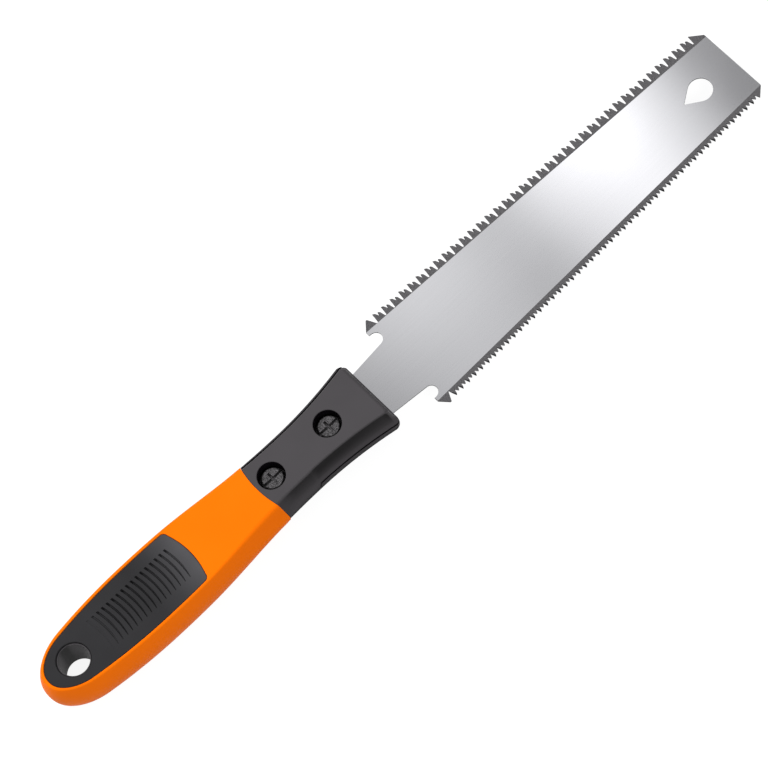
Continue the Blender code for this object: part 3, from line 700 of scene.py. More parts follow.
def cylinder(name, radius, low, high, distance, steps=48, turn=0.0):
    """Upright round bar on the centre line, this far along the saw."""
    bm = bmesh.new()
    bmesh.ops.create_cone(bm, cap_ends=True, segments=steps, radius1=radius, radius2=radius, depth=high - low)
    bmesh.ops.rotate(bm, verts=bm.verts, matrix=Matrix.Rotation(turn, 3, 'Z'))
    bmesh.ops.translate(bm, verts=bm.verts, vec=(distance, 0, (low + high) / 2))
    return mesh_object(name, bm)


def hexagon(name, flats_radius, low, high, distance):
    """Upright hexagon bar, two of its flats along the saw."""
    corner_radius = flats_radius / math.cos(math.pi / 6)
    return cylinder(name, corner_radius, low, high, distance, steps=6, turn=math.pi / 6)


def box(name, low, high):
    """Block from its lowest to its highest corner."""
    bm = bmesh.new()
    bmesh.ops.create_cube(bm, size=1)
    bmesh.ops.scale(bm, verts=bm.verts, vec=[b - a for a, b in zip(low, high)])
    bmesh.ops.translate(bm, verts=bm.verts, vec=[(a + b) / 2 for a, b in zip(low, high)])
    return mesh_object(name, bm)


def pockets(low, high):
    """Core-outs behind and ahead of the front screw."""
    clear = RECESS_RADIUS + POCKET_WALL
    front_end = HANDLE_LENGTH - CLAMP_FRONT_SETBACK - POCKET_WALL
    spans = ((REAR_SCREW_POSITION + clear, FRONT_SCREW_POSITION - clear),
             (FRONT_SCREW_POSITION + clear, front_end))
    return [box("pocket", (rear, -POCKET_HALF_WIDTH, low), (front, POCKET_HALF_WIDTH, high))
            for rear, front in spans]


def tang_half_width(distance):
    """Half width of the tang, which tapers to its rear end."""
    share = (distance - TANG_REAR) / (HANDLE_LENGTH - TANG_REAR)
    return mix(TANG_REAR_HALF_WIDTH, TANG_HALF_WIDTH, share)


def all_round(inset):
    """The same inset anywhere along both sides, for the outlines of the base's outer wall."""
    return lambda distance, side: inset


def inside_lip(side):
    """One side of the room for the cover, inside the lip."""
    def half_width(distance):
        return side_half_width(distance) - lip_width(distance, side)

    rear_width = half_width(GRIP_LENGTH)
    points = [(joint_line(y, JOINT_GAP), y) for y in (0.0, rear_width / 2, rear_width)]
    corner = CLAMP_FRONT_CORNER - LIP_WIDTH
    end = HANDLE_LENGTH - CLAMP_FRONT_LINE + GAP - corner
    points += along_side(points[-1][0], end, SIDE_POINTS, half_width)[1:-1]
    return points + arc(end, side_half_width(end) - LIP_WIDTH - corner, corner, math.pi / 2, 0)


def off_the_sides(tree):
    """0 on a wall that faces straight across the saw, and 1 on what faces up, down or along it."""
    across = coordinate(tree, "Y", kind="Normal")
    return calculate(tree, 'SUBTRACT', 1, calculate(tree, 'ABSOLUTE', across))


black = moulded_material("black_plastic", low=(0.063, 0.059, 0.063), high=(0.075, 0.07, 0.075),
                         roughness=0.45, specular=0.06, grain_size=0.18, depth=0.012, drift=1.0)
# Painted shade: faces that turn across the saw, like the clamp's hollow sides, are painted darker,
# down to near black on walls that face straight across it
SIDE_PAINTED_SHADE = (
    (0.0, 0.07), (0.03, 0.13), (0.05, 0.34), (0.07, 0.5), (0.135, 0.8), (0.24, 0.92), (0.4, 0.95), (1.0, 1.0),
)
shade_by(black, off_the_sides, SIDE_PAINTED_SHADE)

rises = side_rises(BASE_WAIST, CLAMP_FRONT_EDGE_RADIUS, CLAMP_FRONT_EDGE_LEVELS)
rings = [clamp_ring(BASE_WAIST - rise, rise, BASE_WAIST, all_round(0.0)) for rise in reversed(rises)]
rings.append(clamp_ring(LIP_TOP - EDGE_BREAK, 0.0, BASE_WAIST, all_round(0.0)))
rings.append(clamp_ring(LIP_TOP, 0.0, BASE_WAIST, all_round(EDGE_BREAK)))
clamp_base = loft("black_core_and_clamp_base", rings)
cut(clamp_base, core_shape("core", GAP), 'UNION')
cut(clamp_base, outline_solid("cover_space", two_sides(inside_lip), LEDGE_HEIGHT, HANDLE_THICKNESS))
channel = [(d, tang_half_width(d) + TANG_CLEARANCE) for d in (TANG_REAR - TANG_CLEARANCE, HANDLE_LENGTH + MM)]
cut(clamp_base, outline_solid("blade_channel", both_sides(channel), CHANNEL_FLOOR, HANDLE_THICKNESS + MM))
for position in SCREW_POSITIONS:
    cut(clamp_base, cylinder("bore", BORE_RADIUS, -MM, HANDLE_THICKNESS, position))
    cut(clamp_base, hexagon("nut_pocket", NUT_ACROSS_FLATS / 2 + GAP, -MM, NUT_POCKET_TOP, position))
for pocket in pockets(POCKET_WALL, LEDGE_HEIGHT + MM):
    cut(clamp_base, pocket)
eyelet = cylinder("eyelet", HANG_HOLE_RADIUS + EYELET_WALL, EYELET_DROP, HANDLE_THICKNESS - EYELET_DROP,
                  HANG_HOLE_POSITION, steps=64)
cut(clamp_base, eyelet, 'UNION')
cut(clamp_base, cylinder("core_hole", HANG_HOLE_RADIUS, 0, HANDLE_THICKNESS, HANG_HOLE_POSITION, steps=64))
place(clamp_base, "handle", ["handle_core"], black)


# Clamp cover. The upper half of the blade clamp, moulded in the same black plastic. Its flat face
# rolls over into hollow sides, and two round recesses take the screw heads. Its upright walls, the
# recess walls among them, are painted near black: painted shade.
COVER_SEAT = LEDGE_HEIGHT + GAP
COVER_RISE = HANDLE_THICKNESS - LIP_TOP
FLOOR_UNDER_HEAD = 1.8 * MM
HEAD_SEAT = COVER_SEAT + FLOOR_UNDER_HEAD
RECESS_RIM = 0.25 * MM
UPRIGHT = 0.05


def cover_line(distance, side):
    """How far the cover's foot stands inside the handle's side."""
    return lip_width(distance, side) + PARTING_GAP


# Painted shade: a near-black, slightly smoother plastic for the cover's upright walls, where the recesses and
# bores lie in shade
black_painted_shade = moulded_material("black_plastic_painted_shade", low=(0.004, 0.003, 0.0045),
                                high=(0.006, 0.005, 0.0065), roughness=0.35, specular=0.04,
                                grain_size=0.3, depth=0.003, drift=1.0)

rises = side_rises(COVER_RISE, CLAMP_FRONT_EDGE_RADIUS, CLAMP_FRONT_EDGE_LEVELS)
rings = [clamp_ring(COVER_SEAT, 0.0, COVER_RISE, cover_line, CLAMP_FRONT_LINE)]
rings += [clamp_ring(LIP_TOP + rise, rise, COVER_RISE, cover_line, CLAMP_FRONT_LINE) for rise in rises]
clamp_cover = loft("black_clamp_cover", rings)
for position in SCREW_POSITIONS:
    cut(clamp_cover, flared_cutter("recess", RECESS_RADIUS, RECESS_RIM, HEAD_SEAT, HANDLE_THICKNESS,
                                   position))
    cut(clamp_cover, cylinder("bore", BORE_RADIUS, 0, HANDLE_THICKNESS, position))
for pocket in pockets(COVER_SEAT - MM, HANDLE_THICKNESS - POCKET_WALL):
    cut(clamp_cover, pocket)
clamp_cover.data.materials.clear()
clamp_cover.data.materials.append(black)
clamp_cover.data.materials.append(black_painted_shade)
# Upright walls get the painted shade
for face in clamp_cover.data.polygons:
    if abs(face.normal.z) < UPRIGHT:
        face.material_index = 1
place(clamp_cover, "clamp_cover", ["clamp_cover"])


# Clamp screws and nuts. M4 steel, zinc plated and passivated dark. Each head is a little dished, with
# a slot and a shorter slot across it. Its shank runs through the tang's slot to a nut in the base.
HEAD_RADIUS = 4.0 * MM
HEAD_HEIGHT = 3.0 * MM
HEAD_RIM_HEIGHT = 1.6 * MM
HEAD_FOOT_BREAK = 0.15 * MM
HEAD_DISH = 0.4 * MM
HEAD_DISH_RADIUS = 3.3 * MM
SLOT_WIDTH = 0.9 * MM
SLOT_DEPTH = 1.6 * MM
CROSS_LENGTH = 4.6 * MM
CROSS_DEPTH = 1.9 * MM
SCREW_EDGE_ROUND = 0.12 * MM
NUT_HEIGHT = 3.2 * MM
NUT_EDGE_ROUND = 0.25 * MM
NUT_BORE_SLACK = 0.02 * MM
SCREW_TIP = NUT_POCKET_TOP - GAP - NUT_HEIGHT - 0.5 * MM
THREAD_START = 3.6 * MM
THREAD_END = 0.9 * MM
THREAD_PITCH = 0.7 * MM
THREAD_DEPTH = 0.25 * MM
TIP_TAPER_LENGTH = 0.6 * MM
TIP_TAPER = 0.5 * MM
DISH_STEPS = 6
CROWN_STEPS = 8
PLATING_ROUGHNESS = 0.12
PLATING_BUMP = 0.006 * MM
PLATING_TONE_STARTS = 0.4
PLATING_TONE_ENDS = 0.62


def soften(obj, width, degrees):
    """Break an object's sharp edges with a small round."""
    bevel = obj.modifiers.new("soften", 'BEVEL')
    bevel.width = width
    bevel.segments = 2
    bevel.limit_method = 'ANGLE'
    bevel.angle_limit = math.radians(degrees)
    settle(obj)


def plated_metal(name, low, high, roughness, speckle_size, metallic=1.0, specular=0.5):
    """Dull plated steel: a crystalline speckle in its tone and roughness."""
    middle = mix(Vector(low), Vector(high), 0.5)
    material, tree, shader = new_material(name, middle, roughness, metallic, specular)
    speckle = noise(tree, coordinate(tree), 1 / (speckle_size * MM), detail=4.0)
    bump = add_node(tree, 'ShaderNodeBump', {"Height": speckle, "Distance": PLATING_BUMP})
    feed(tree, shader, {
        "Base Color": tone_ramp(tree, speckle, low, high, PLATING_TONE_STARTS, PLATING_TONE_ENDS),
        "Roughness": spread(tree, speckle, roughness + PLATING_ROUGHNESS, roughness - PLATING_ROUGHNESS),
        "Normal": bump.outputs["Normal"],
    })
    return material


def clamp_screw():
    """One screw, standing on the underside of its head: a profile turned, then slotted."""
    profile = []
    for step in range(DISH_STEPS + 1):
        share = step / DISH_STEPS
        profile.append((HEAD_DISH_RADIUS * share, HEAD_HEIGHT - HEAD_DISH * (1 - share * share)))
    for step in range(1, CROWN_STEPS + 1):
        share = step / CROWN_STEPS
        crown = mix(HEAD_RIM_HEIGHT, HEAD_HEIGHT, (1 - share * share) ** 0.5)
        profile.append((mix(HEAD_DISH_RADIUS, HEAD_RADIUS, share), crown))
    profile += [(HEAD_RADIUS, HEAD_FOOT_BREAK), (HEAD_RADIUS - HEAD_FOOT_BREAK, 0.0), (SCREW_RADIUS, 0.0)]
    tip = SCREW_TIP - HEAD_SEAT - GAP
    for turn in range(int((-tip - THREAD_START - THREAD_END) / THREAD_PITCH)):
        height = -THREAD_START - THREAD_PITCH * turn
        profile += [(SCREW_RADIUS, height), (SCREW_RADIUS - THREAD_DEPTH, height - THREAD_PITCH / 2)]
    profile += [(SCREW_RADIUS, tip + TIP_TAPER_LENGTH), (SCREW_RADIUS - TIP_TAPER, tip), (0.0, tip)]
    screw = turned("clamp_screw", profile)
    top = HEAD_HEIGHT + MM
    for name, length, width, depth in (("slot", 2 * HEAD_RADIUS + 2 * MM, SLOT_WIDTH, SLOT_DEPTH),
                                       ("cross", SLOT_WIDTH, CROSS_LENGTH, CROSS_DEPTH)):
        floor = HEAD_HEIGHT - depth
        cut(screw, box(name, (-length / 2, -width / 2, floor), (length / 2, width / 2, top)))
    soften(screw, SCREW_EDGE_ROUND, degrees=40)
    return screw


def copies_tree():
    """Geometry nodes that set copies of a part along the saw."""
    tree, given, made = geometry_tree(
        "Copies along the saw", Part='Object', Count='Int', First='Float', Spacing='Float', Height='Float',
        Material='Material')
    copies = copies_in_a_row(tree, given["Part"], given["Count"], given["First"], given["Spacing"],
                             given["Height"])
    return finish_tree(tree, made, copies, given["Material"])


plated = plated_metal("plated_steel", low=(0.022, 0.021, 0.022), high=(0.16, 0.153, 0.16),
                      roughness=0.4, speckle_size=0.3, metallic=0.6)
set_along_saw = copies_tree()


def copies(name, part, count, first, spacing, height):
    """One plated piece made of copies of a part."""
    obj = link(bpy.data.objects.new(name, bpy.data.meshes.new(name)))
    run_tree(obj, set_along_saw, Part=part, Count=count, First=first, Spacing=spacing, Height=height,
             Material=plated)
    return obj


screw = clamp_screw()
for name, position in zip(("clamp_screw_rear", "clamp_screw_front"), SCREW_POSITIONS):
    piece = copies("plated_" + name, screw, 1, position, 0.0, HEAD_SEAT + GAP)
    place(piece, name, [name])
bpy.data.objects.remove(screw)

nut = hexagon("nut", NUT_ACROSS_FLATS / 2, -NUT_HEIGHT / 2, NUT_HEIGHT / 2, 0)
soften(nut, NUT_EDGE_ROUND, degrees=20)
cut(nut, cylinder("nut_bore", SCREW_RADIUS + NUT_BORE_SLACK, -NUT_HEIGHT, NUT_HEIGHT, 0))
nuts = copies("plated_clamp_nuts", nut, 2, REAR_SCREW_POSITION, FRONT_SCREW_POSITION - REAR_SCREW_POSITION,
              NUT_POCKET_TOP - GAP - NUT_HEIGHT / 2)
bpy.data.objects.remove(nut)
place(nuts, "handle", ["clamp_nut_rear", "clamp_nut_front"])


# Blade. Punched from 0.6 mm spring steel, ground and lightly polished along its length. Both edges
# are toothed and the teeth are hardened dark: pairs of teeth, filed and set to one side in turn.
TIP_POSITION = HANDLE_LENGTH + 163.0 * MM
HEEL_POSITION = HANDLE_LENGTH + 12.95 * MM
HEEL_HALF_WIDTH = 17.3 * MM
TIP_HALF_WIDTH = 13.3 * MM
HEEL_NOTCH_RADIUS = 2.4 * MM
HEEL_NOTCH_OFFSET = 0.65 * MM
HEEL_HORN_WIDTH = 1.5 * MM
TANG_REAR_CORNER = 1.5 * MM
TEARDROP_POSITION = TIP_POSITION - 14.8 * MM
TEARDROP_RADIUS = 4.25 * MM
TEARDROP_LENGTH = 11.7 * MM
HARDENED_DEPTH_AT_TIP = 0.85 * MM
BLADE_EDGE_BREAK = 0.05 * MM
NOTCH_STEPS = 24
TEARDROP_STEPS = 48
ROOT_ANGLE = math.atan((TIP_HALF_WIDTH - HEEL_HALF_WIDTH) / (TIP_POSITION - HEEL_POSITION))

# Outlines of the teeth, in mm along and out from the root line. Each corner says how far its edge is
# filed back, along and out, on the face that its tooth is filed on: 1 the upper face, -1 the lower.
COARSE_PAIR = (
    (-0.23, 0.17, 0, 0, 0),
    (0.0, 3.4, 0.3, -0.4, -1), (0.45, 3.22, 0.05, -0.35, -1), (0.91, 2.86, -0.1, -0.3, -1),
    (1.52, 1.53, 0, 0, 0),
    (1.86, 2.96, 0.36, -0.3, 1), (2.24, 2.75, 0.1, -0.28, 1), (2.62, 2.45, -0.08, -0.25, 1),
    (3.15, 0.2, -0.1, -0.05, 1),
)
COARSE_PITCH = 3.79
COARSE_START = 5.6
COARSE_PAIRS = 37
FINE_PAIR = (
    (-0.66, 1.08, 0, 0, 0),
    (0.0, 3.0, 0.42, -0.35, 1), (0.25, 2.85, 0.25, -0.4, 1), (0.48, 2.34, 0.08, -0.2, 1),
    (0.81, 1.2, 0, 0, 0),
    (1.4, 2.55, 0.2, -0.2, -1), (1.62, 2.58, 0.0, -0.25, -1), (1.9, 2.2, -0.1, -0.2, -1),
)
FINE_PITCH = 3.0
FINE_START = 5.75
FINE_PAIRS = 47
GUARD_TOOTH = ((0.02, 0.06, 0, 0, 0), (2.63, 3.3, 0, 0, 0), (3.13, 3.3, 0, 0, 0), (4.8, 0.06, 0, 0, 0))
GULLET_SLOPE = 5
LOW_EDGE = 0.06
END_INSET = 0.02
TOOTH_FOOT = -0.3
TOOTH_SET = 0.12
TOOTH_BEND = 0.05
TOOTH_HALF_THICKNESS = 0.296
CREST_LEAN = 0.5
WELD_DISTANCE = 0.001

# How level a face is that counts as flat, on the plate and on a tooth, whose bevels lean less
PLATE_FLAT = 0.5
TOOTH_FLAT = 0.97

GRINDING_PER_METRE = 2500.0
GRINDING_STRETCH = 0.02
POLISH_PER_METRE = 35.0
POLISHED_ROUGHNESS = 0.09
DULLED_ROUGHNESS = 0.13


def tooth_strip(bm, corners, fins, closed=()):
    """Strip of teeth on its foot: fins are each tooth's (first, last) corner, closed the walled ends."""
    columns = []
    for along, out, back, down, face in corners:
        lean = TOOTH_SET * -face * max(0.0, out - TOOTH_BEND) / corners[1][1]
        filed = (along + back, out + down)
        upper = filed if face > 0 else (along, out)
        lower = filed if face < 0 else (along, out)
        columns.append((bm.verts.new((*lower, lean - TOOTH_HALF_THICKNESS)),
                        bm.verts.new((along, out, lean - CREST_LEAN * face * TOOTH_HALF_THICKNESS)),
                        bm.verts.new((*upper, lean + TOOTH_HALF_THICKNESS))))
    bases = {}
    for index in {end for fin in fins for end in fin}:
        along = corners[index][0]
        bases[index] = [bm.verts.new((along, out, side * TOOTH_HALF_THICKNESS))
                        for side in (-1, 1) for out in (TOOTH_BEND, TOOTH_FOOT)]
    for near, far in zip(columns, columns[1:]):
        for level in (0, 1):
            bm.faces.new((near[level], far[level], far[level + 1], near[level + 1]))
    for first, last in fins:
        lower_row = [column[0] for column in columns[first:last + 1]]
        upper_row = [column[2] for column in columns[first:last + 1]]
        near, far = bases[first], bases[last]
        bm.faces.new([near[0], *lower_row, far[0]])
        bm.faces.new([near[2], *upper_row, far[2]])
        bm.faces.new((near[0], near[1], far[1], far[0]))
        bm.faces.new((near[2], near[3], far[3], far[2]))
        bm.faces.new((near[1], near[3], far[3], far[1]))
    for index in closed:
        base = bases[index]
        bm.faces.new((base[1], base[0], *columns[index], base[2], base[3]))


def tooth_pair(pair, pitch):
    """One pair of teeth, open at both ends where the next pairs join on."""
    bm = bmesh.new()
    gap = next(index for index in range(1, len(pair)) if pair[index][4] == 0)
    along, out, *rest = pair[0]
    tooth_strip(bm, (*pair, (along + pitch, out, *rest)), ((0, gap), (gap, len(pair))))
    return mesh_object("tooth_pair", bm)


def row_ends(name, pair, pitch, start, pairs):
    """The guard tooth at the heel and the long last tooth at the tip, open where the pairs start."""
    bm = bmesh.new()
    gullet_along, gullet_out, *rest = pair[0]
    opening = (start + gullet_along - gullet_out / GULLET_SLOPE, LOW_EDGE, 0, 0, 0)
    first_gullet = (start + gullet_along, gullet_out, *rest)
    tooth_strip(bm, (*GUARD_TOOTH, opening, first_gullet), ((0, 3), (3, 5)), closed=(0,))
    last = start + pitch * pairs
    last_gullet = (last + gullet_along, gullet_out, *rest)
    length = (TIP_POSITION - HEEL_POSITION) / math.cos(ROOT_ANGLE) / MM
    tip = (length - END_INSET, LOW_EDGE, 0, 0, 0)
    tooth_strip(bm, (last_gullet, (last, pair[1][1], 0, 0, 0), tip), ((0, 2),), closed=(2,))
    return mesh_object(name, bm)


def tooth_row_tree():
    """Geometry nodes that join a row of tooth pairs to the teeth at its two ends."""
    tree, given, made = geometry_tree(
        "Row of teeth", Pair='Object', Pairs='Int', Pitch='Float', Start='Float', Material='Material')
    pairs = copies_in_a_row(tree, given["Pair"], given["Pairs"], given["Start"], given["Pitch"])
    real = add_node(tree, 'GeometryNodeRealizeInstances', {"Geometry": pairs}).outputs["Geometry"]
    whole = add_node(tree, 'GeometryNodeJoinGeometry')
    for shape in (real, given["Geometry"]):
        tree.links.new(shape, whole.inputs["Geometry"])
    weld = add_node(tree, 'GeometryNodeMergeByDistance',
                    {"Geometry": whole.outputs["Geometry"], "Distance": WELD_DISTANCE})
    return finish_tree(tree, made, weld.outputs["Geometry"], given["Material"])


def toothed_row(name, pair, pitch, start, pairs, side):
    """A whole toothed edge of the blade, on its +Y or its -Y side."""
    row = row_ends(name, pair, pitch, start, pairs)
    one_pair = tooth_pair(pair, pitch)
    run_tree(row, row_of_teeth, Pair=one_pair, Pairs=pairs, Pitch=pitch, Start=start, Material=hardened)
    bpy.data.objects.remove(one_pair)
    row.data.transform(Matrix.Diagonal((1, side, 1, 1))
                       @ Matrix.Translation((HEEL_POSITION, HEEL_HALF_WIDTH, 0))
                       @ Matrix.Rotation(ROOT_ANGLE, 4, 'Z') @ Matrix.Scale(MM, 4))
    reshape(row, lambda bm: bmesh.ops.recalc_face_normals(bm, faces=bm.faces))
    return row


def root_half_width(distance):
    """Half width of the blade at the roots of its teeth."""
    return mix(HEEL_HALF_WIDTH, TIP_HALF_WIDTH, (distance - HEEL_POSITION) / (TIP_POSITION - HEEL_POSITION))


def plate_side():
    """One side of the plate, from the tang's slot round its rear end and the heel to the tip."""
    corner = TANG_REAR_CORNER
    notch_middle = HEEL_HALF_WIDTH - HEEL_HORN_WIDTH - HEEL_NOTCH_RADIUS
    return [
        *arc(FRONT_SCREW_POSITION, 0, BORE_RADIUS, 0, math.pi / 2),
        (TANG_REAR, BORE_RADIUS),
        *arc(TANG_REAR + corner, TANG_REAR_HALF_WIDTH - corner, corner, math.pi, math.pi / 2, steps=5),
        (HANDLE_LENGTH, TANG_HALF_WIDTH),
        *arc(HEEL_POSITION + HEEL_NOTCH_OFFSET, notch_middle, HEEL_NOTCH_RADIUS, -math.pi / 2, math.pi / 2,
             NOTCH_STEPS),
        (HEEL_POSITION, HEEL_HALF_WIDTH - HEEL_HORN_WIDTH),
        (HEEL_POSITION, HEEL_HALF_WIDTH),
        (TIP_POSITION, TIP_HALF_WIDTH),
    ]


def teardrop():
    """Round hole drawn out to a point towards the handle."""
    reach = TEARDROP_LENGTH - TEARDROP_RADIUS
    tangent = math.acos(TEARDROP_RADIUS / reach)
    rounded = arc(TEARDROP_POSITION, 0, TEARDROP_RADIUS, math.pi - tangent, tangent - math.pi,
                  TEARDROP_STEPS)
    return [(TEARDROP_POSITION - reach, 0.0), *rounded]


def on_root_line(edge):
    """Whether the teeth stand on this edge of the plate."""
    return all(x > HEEL_POSITION - CLOSE and abs(abs(y) - root_half_width(x)) < CLOSE
               for x, y, _ in (corner.co for corner in edge.verts))


def break_plate_edges(bm):
    """Chamfer the edges of the plate's two faces, but not where the teeth stand on it."""
    rims = []
    for edge in bm.edges:
        flats = [abs(face.normal.z) > PLATE_FLAT for face in edge.link_faces]
        if len(flats) == 2 and flats[0] != flats[1] and not on_root_line(edge):
            rims.append(edge)
    bmesh.ops.bevel(bm, geom=rims, offset=BLADE_EDGE_BREAK, segments=1, affect='EDGES', profile=0.5)


def darken_blade(bm):
    """Set the materials of the hardened band, and the painted shade of the sheared and filed edges."""
    band_start = Vector((HEEL_POSITION, HEEL_HALF_WIDTH, 0))
    band_end = Vector((TIP_POSITION, TIP_HALF_WIDTH - HARDENED_DEPTH_AT_TIP, 0))
    along_band = (band_end - band_start).normalized()
    out_of_band = Vector((-along_band.y, along_band.x, 0))
    bmesh.ops.bisect_plane(bm, geom=bm.verts[:] + bm.edges[:] + bm.faces[:], plane_co=band_start,
                           plane_no=out_of_band, dist=CLOSE)
    bm.normal_update()
    slots = [slot.name for slot in blade.data.materials]
    for face in bm.faces:
        middle = face.calc_center_median()
        flat = TOOTH_FLAT if abs(middle.y) > root_half_width(middle.x) else PLATE_FLAT
        if abs(face.normal.z) < flat:
            face.material_index = slots.index("edges_in_painted_shade")
        elif (middle - band_start).dot(out_of_band) > CLOSE:
            face.material_index = slots.index("hardened_teeth")


def blade_material():
    """Spring steel with fine grinding lines along it, which vary its tone, and patches of polish."""
    material, tree, shader = new_material("blade_steel", (0.56, 0.56, 0.58), 0.2, metallic=1.0)
    place_on = coordinate(tree)
    stretch = {"Vector": place_on, "Scale": (GRINDING_STRETCH, 1.0, 1.0)}
    along_plate = add_node(tree, 'ShaderNodeMapping', stretch).outputs["Vector"]
    lines = noise(tree, along_plate, GRINDING_PER_METRE, detail=2.0)
    patches = noise(tree, place_on, POLISH_PER_METRE, detail=3.0)
    feed(tree, shader, {
        "Base Color": tone_ramp(tree, lines, (0.545, 0.545, 0.565), (0.575, 0.575, 0.595)),
        "Roughness": spread(tree, patches, POLISHED_ROUGHNESS, DULLED_ROUGHNESS),
    })
    return material


blade_steel = blade_material()
hardened = plated_metal("hardened_teeth", low=(0.095, 0.092, 0.096), high=(0.172, 0.168, 0.175),
                        roughness=0.42, speckle_size=0.25)
# Painted shade: near-black, unmetallic faces for the plate's sideways walls and the teeth's filed bevels
edges_painted_dark = plated_metal("edges_in_painted_shade", low=(0.012, 0.012, 0.013), high=(0.032, 0.031, 0.034),
                          roughness=0.55, speckle_size=0.25, metallic=0.0, specular=0.08)

row_of_teeth = tooth_row_tree()
blade = outline_solid("steel_blade", both_sides(plate_side()), -BLADE_THICKNESS / 2, BLADE_THICKNESS / 2)
blade.data.materials.append(blade_steel)
cut(blade, outline_solid("teardrop", teardrop(), -MM, MM))
reshape(blade, break_plate_edges)
cut(blade, toothed_row("coarse_teeth", COARSE_PAIR, COARSE_PITCH, COARSE_START, COARSE_PAIRS, 1), 'UNION')
cut(blade, toothed_row("fine_teeth", FINE_PAIR, FINE_PITCH, FINE_START, FINE_PAIRS, -1), 'UNION')
blade.data.transform(Matrix.Translation((0, 0, MIDDLE)))

# The dark hardening reaches past the coarse roots, further in towards the tip. The plate's sheared
# edges and the bevels filed on the teeth are painted near black: painted shade.
blade.data.materials.append(edges_painted_dark)
reshape(blade, darken_blade)
place(blade, "blade", ["blade"], degrees=25)


# Studio. A white table seen from above, a broad soft lamp from the coarse side, a weaker one from
# the fine side, and overhead a graded card that the polished plate mirrors in their place.
TABLE_HALF_WIDTH = 6
TABLE_DROP = 0.02 * MM
TABLE_TONE_FOR_LIGHT = 0.4
TABLE_TONE_SEEN = 0.2
TABLE_LIFT = 0.9
SKY_FOR_LIGHT = 0.42
SKY_SEEN = 1.0
CAMERA_PLACE = (-0.24601, -0.62434, 1.52024)
CAMERA_TARGET = (-0.004259, 0.000673, MIDDLE)
CAMERA_ROLL = math.radians(-23.406)
FOCAL_PIXELS = 5100.0
PHOTO_WIDTH = 768
SENSOR_WIDTH = 36.0


def seen_directly(tree):
    """1 for rays that show the background: camera, glossy and transmission rays."""
    path = add_node(tree, 'ShaderNodeLightPath').outputs
    either = calculate(tree, 'MAXIMUM', path["Is Camera Ray"], path["Is Glossy Ray"])
    return calculate(tree, 'MAXIMUM', either, path["Is Transmission Ray"])


def bare_material(name):
    """Material without nodes, and its node tree."""
    material = bpy.data.materials.new(name)
    material.use_nodes = True
    material.node_tree.nodes.clear()
    return material, material.node_tree


def table_material():
    """White table: what it lacks in light is added for the rays that show it, so shadows stay."""
    material, tree = bare_material("white_table")
    seen = seen_directly(tree)
    tone = spread(tree, seen, TABLE_TONE_FOR_LIGHT, TABLE_TONE_SEEN)
    paper = add_node(tree, 'ShaderNodeBsdfDiffuse', {"Color": tone}).outputs[0]
    strength = calculate(tree, 'MULTIPLY', seen, TABLE_LIFT)
    lift = add_node(tree, 'ShaderNodeEmission', {"Strength": strength}).outputs[0]
    total = add_node(tree, 'ShaderNodeAddShader', {0: paper, 1: lift}).outputs[0]
    add_node(tree, 'ShaderNodeOutputMaterial', {"Surface": total})
    return material


bm = bmesh.new()
bmesh.ops.create_grid(bm, x_segments=1, y_segments=1, size=TABLE_HALF_WIDTH)
table = mesh_object("table_top", bm)
table.data.transform(Matrix.Translation((0, 0, -TABLE_DROP)))
table.data.materials.append(table_material())

world = bpy.data.worlds.new("studio")
bpy.context.scene.world = world
world.use_nodes = True
sky = spread(world.node_tree, seen_directly(world.node_tree), SKY_FOR_LIGHT, SKY_SEEN)
feed(world.node_tree, world.node_tree.nodes["Background"].inputs, {"Color": (1, 1, 1, 1), "Strength": sky})


def aim(obj, place_at, target=(0, 0, 0), roll=0.0):
    """Put a lamp or the camera in its place, looking at a target and turned about its own view."""
    ahead = Vector(target) - Vector(place_at)
    turn = ahead.to_track_quat('-Z', 'Y').to_matrix() @ Matrix.Rotation(roll, 3, 'Z')
    obj.matrix_world = Matrix.Translation(place_at) @ turn.to_4x4()


def soft_lamp(name, place_at, size, watts):
    """Broad soft lamp aimed at the saw's middle, which no surface mirrors."""
    data = bpy.data.lights.new(name, 'AREA')
    data.shape = 'RECTANGLE'
    data.size, data.size_y = size
    data.energy = watts
    lamp = link(bpy.data.objects.new(name, data))
    aim(lamp, place_at)
    lamp.visible_camera = False
    lamp.visible_glossy = False


soft_lamp("key", place_at=(-0.6, 1.1, 1.3), size=(0.9, 0.6), watts=26)
soft_lamp("fill", place_at=(-0.1, -1.5, 1.5), size=(1.2, 0.6), watts=16)

# The card's tones along the saw: where on the blade they are seen from the camera, and how bright.
# Across the blade they grow a little from the fine to the coarse side.
CARD_HEIGHT = 0.5
CARD_MARGIN = 0.06
CARD_BLADE_TONES = (
    (-0.04, 0.5), (-0.012, 0.66), (0.0, 0.87), (0.013, 1.05), (0.027, 1.14), (0.042, 1.06), (0.052, 0.88),
    (0.062, 0.88), (0.072, 1.27), (0.083, 1.62), (0.093, 1.9), (0.101, 2.1), (0.113, 1.95), (0.12, 1.56),
    (0.128, 1.3), (0.135, 0.95), (0.141, 0.56), (0.148, 0.46), (0.17, 0.46),
)
CARD_TONE_FINE_SIDE = 0.84
CARD_TONE_COARSE_SIDE = 1.08


def seen_by_camera(x, y):
    """Where on the card's level the camera sees a point of the blade mirrored."""
    reach = CARD_HEIGHT / CAMERA_PLACE[2]
    return x + (x - CAMERA_PLACE[0]) * reach, y + (y - CAMERA_PLACE[1]) * reach


CARD_LOW = Vector(seen_by_camera(CARD_BLADE_TONES[0][0], -CARD_MARGIN))
CARD_HIGH = Vector(seen_by_camera(CARD_BLADE_TONES[-1][0], CARD_MARGIN))


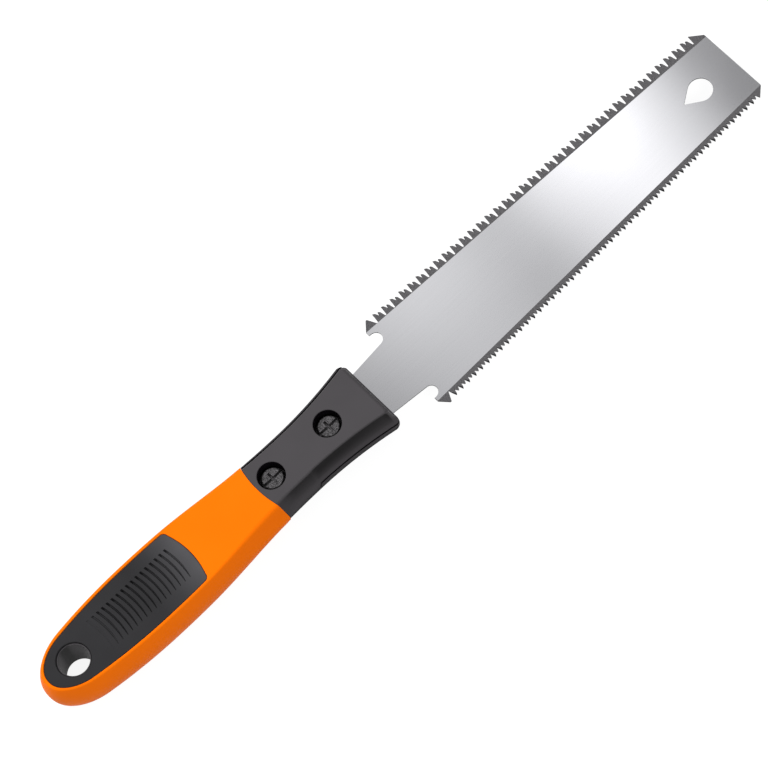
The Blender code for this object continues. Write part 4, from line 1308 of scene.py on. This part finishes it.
def card_material():
    """Graded light of the card: along the saw by a curve, and a little brighter towards +Y."""
    material, tree = bare_material("graded_card")
    along = spread(tree, coordinate(tree, "X"), first=CARD_LOW.x, last=CARD_HIGH.x)
    tones = add_node(tree, 'ShaderNodeFloatCurve', {"Value": along})
    brightest = max(tone for _, tone in CARD_BLADE_TONES)
    curve = tones.mapping.curves[0]
    for on_blade, tone in CARD_BLADE_TONES[1:-1]:
        share = (seen_by_camera(on_blade, 0)[0] - CARD_LOW.x) / (CARD_HIGH.x - CARD_LOW.x)
        curve.points.new(share, tone / brightest)
    curve.points[0].location.y = CARD_BLADE_TONES[0][1] / brightest
    curve.points[-1].location.y = CARD_BLADE_TONES[-1][1] / brightest
    tones.mapping.update()
    across = spread(tree, coordinate(tree, "Y"),
                    low=CARD_TONE_FINE_SIDE * brightest, high=CARD_TONE_COARSE_SIDE * brightest,
                    first=seen_by_camera(0, -TIP_HALF_WIDTH)[1], last=seen_by_camera(0, TIP_HALF_WIDTH)[1])
    strength = calculate(tree, 'MULTIPLY', tones.outputs["Value"], across)
    glow = add_node(tree, 'ShaderNodeEmission', {"Strength": strength})
    add_node(tree, 'ShaderNodeOutputMaterial', {"Surface": glow.outputs[0]})
    return material


bm = bmesh.new()
corners = ((CARD_LOW.x, CARD_LOW.y), (CARD_LOW.x, CARD_HIGH.y), (CARD_HIGH.x, CARD_HIGH.y),
           (CARD_HIGH.x, CARD_LOW.y))
bm.faces.new([bm.verts.new((x, y, CARD_HEIGHT)) for x, y in corners])
mesh = bpy.data.meshes.new("graded_card")
bm.to_mesh(mesh)
bm.free()
card = link(bpy.data.objects.new("graded_card", mesh))
card.data.materials.append(card_material())
card.visible_camera = False
card.visible_diffuse = False
card.visible_shadow = False

camera = link(bpy.data.objects.new("camera", bpy.data.cameras.new("camera")))
camera.data.sensor_width = SENSOR_WIDTH
camera.data.lens = FOCAL_PIXELS * SENSOR_WIDTH / PHOTO_WIDTH
camera.data.clip_start = 0.1
camera.data.clip_end = 30
aim(camera, CAMERA_PLACE, CAMERA_TARGET, CAMERA_ROLL)
bpy.context.scene.camera = camera
bpy.context.scene.view_settings.view_transform = 'Standard'
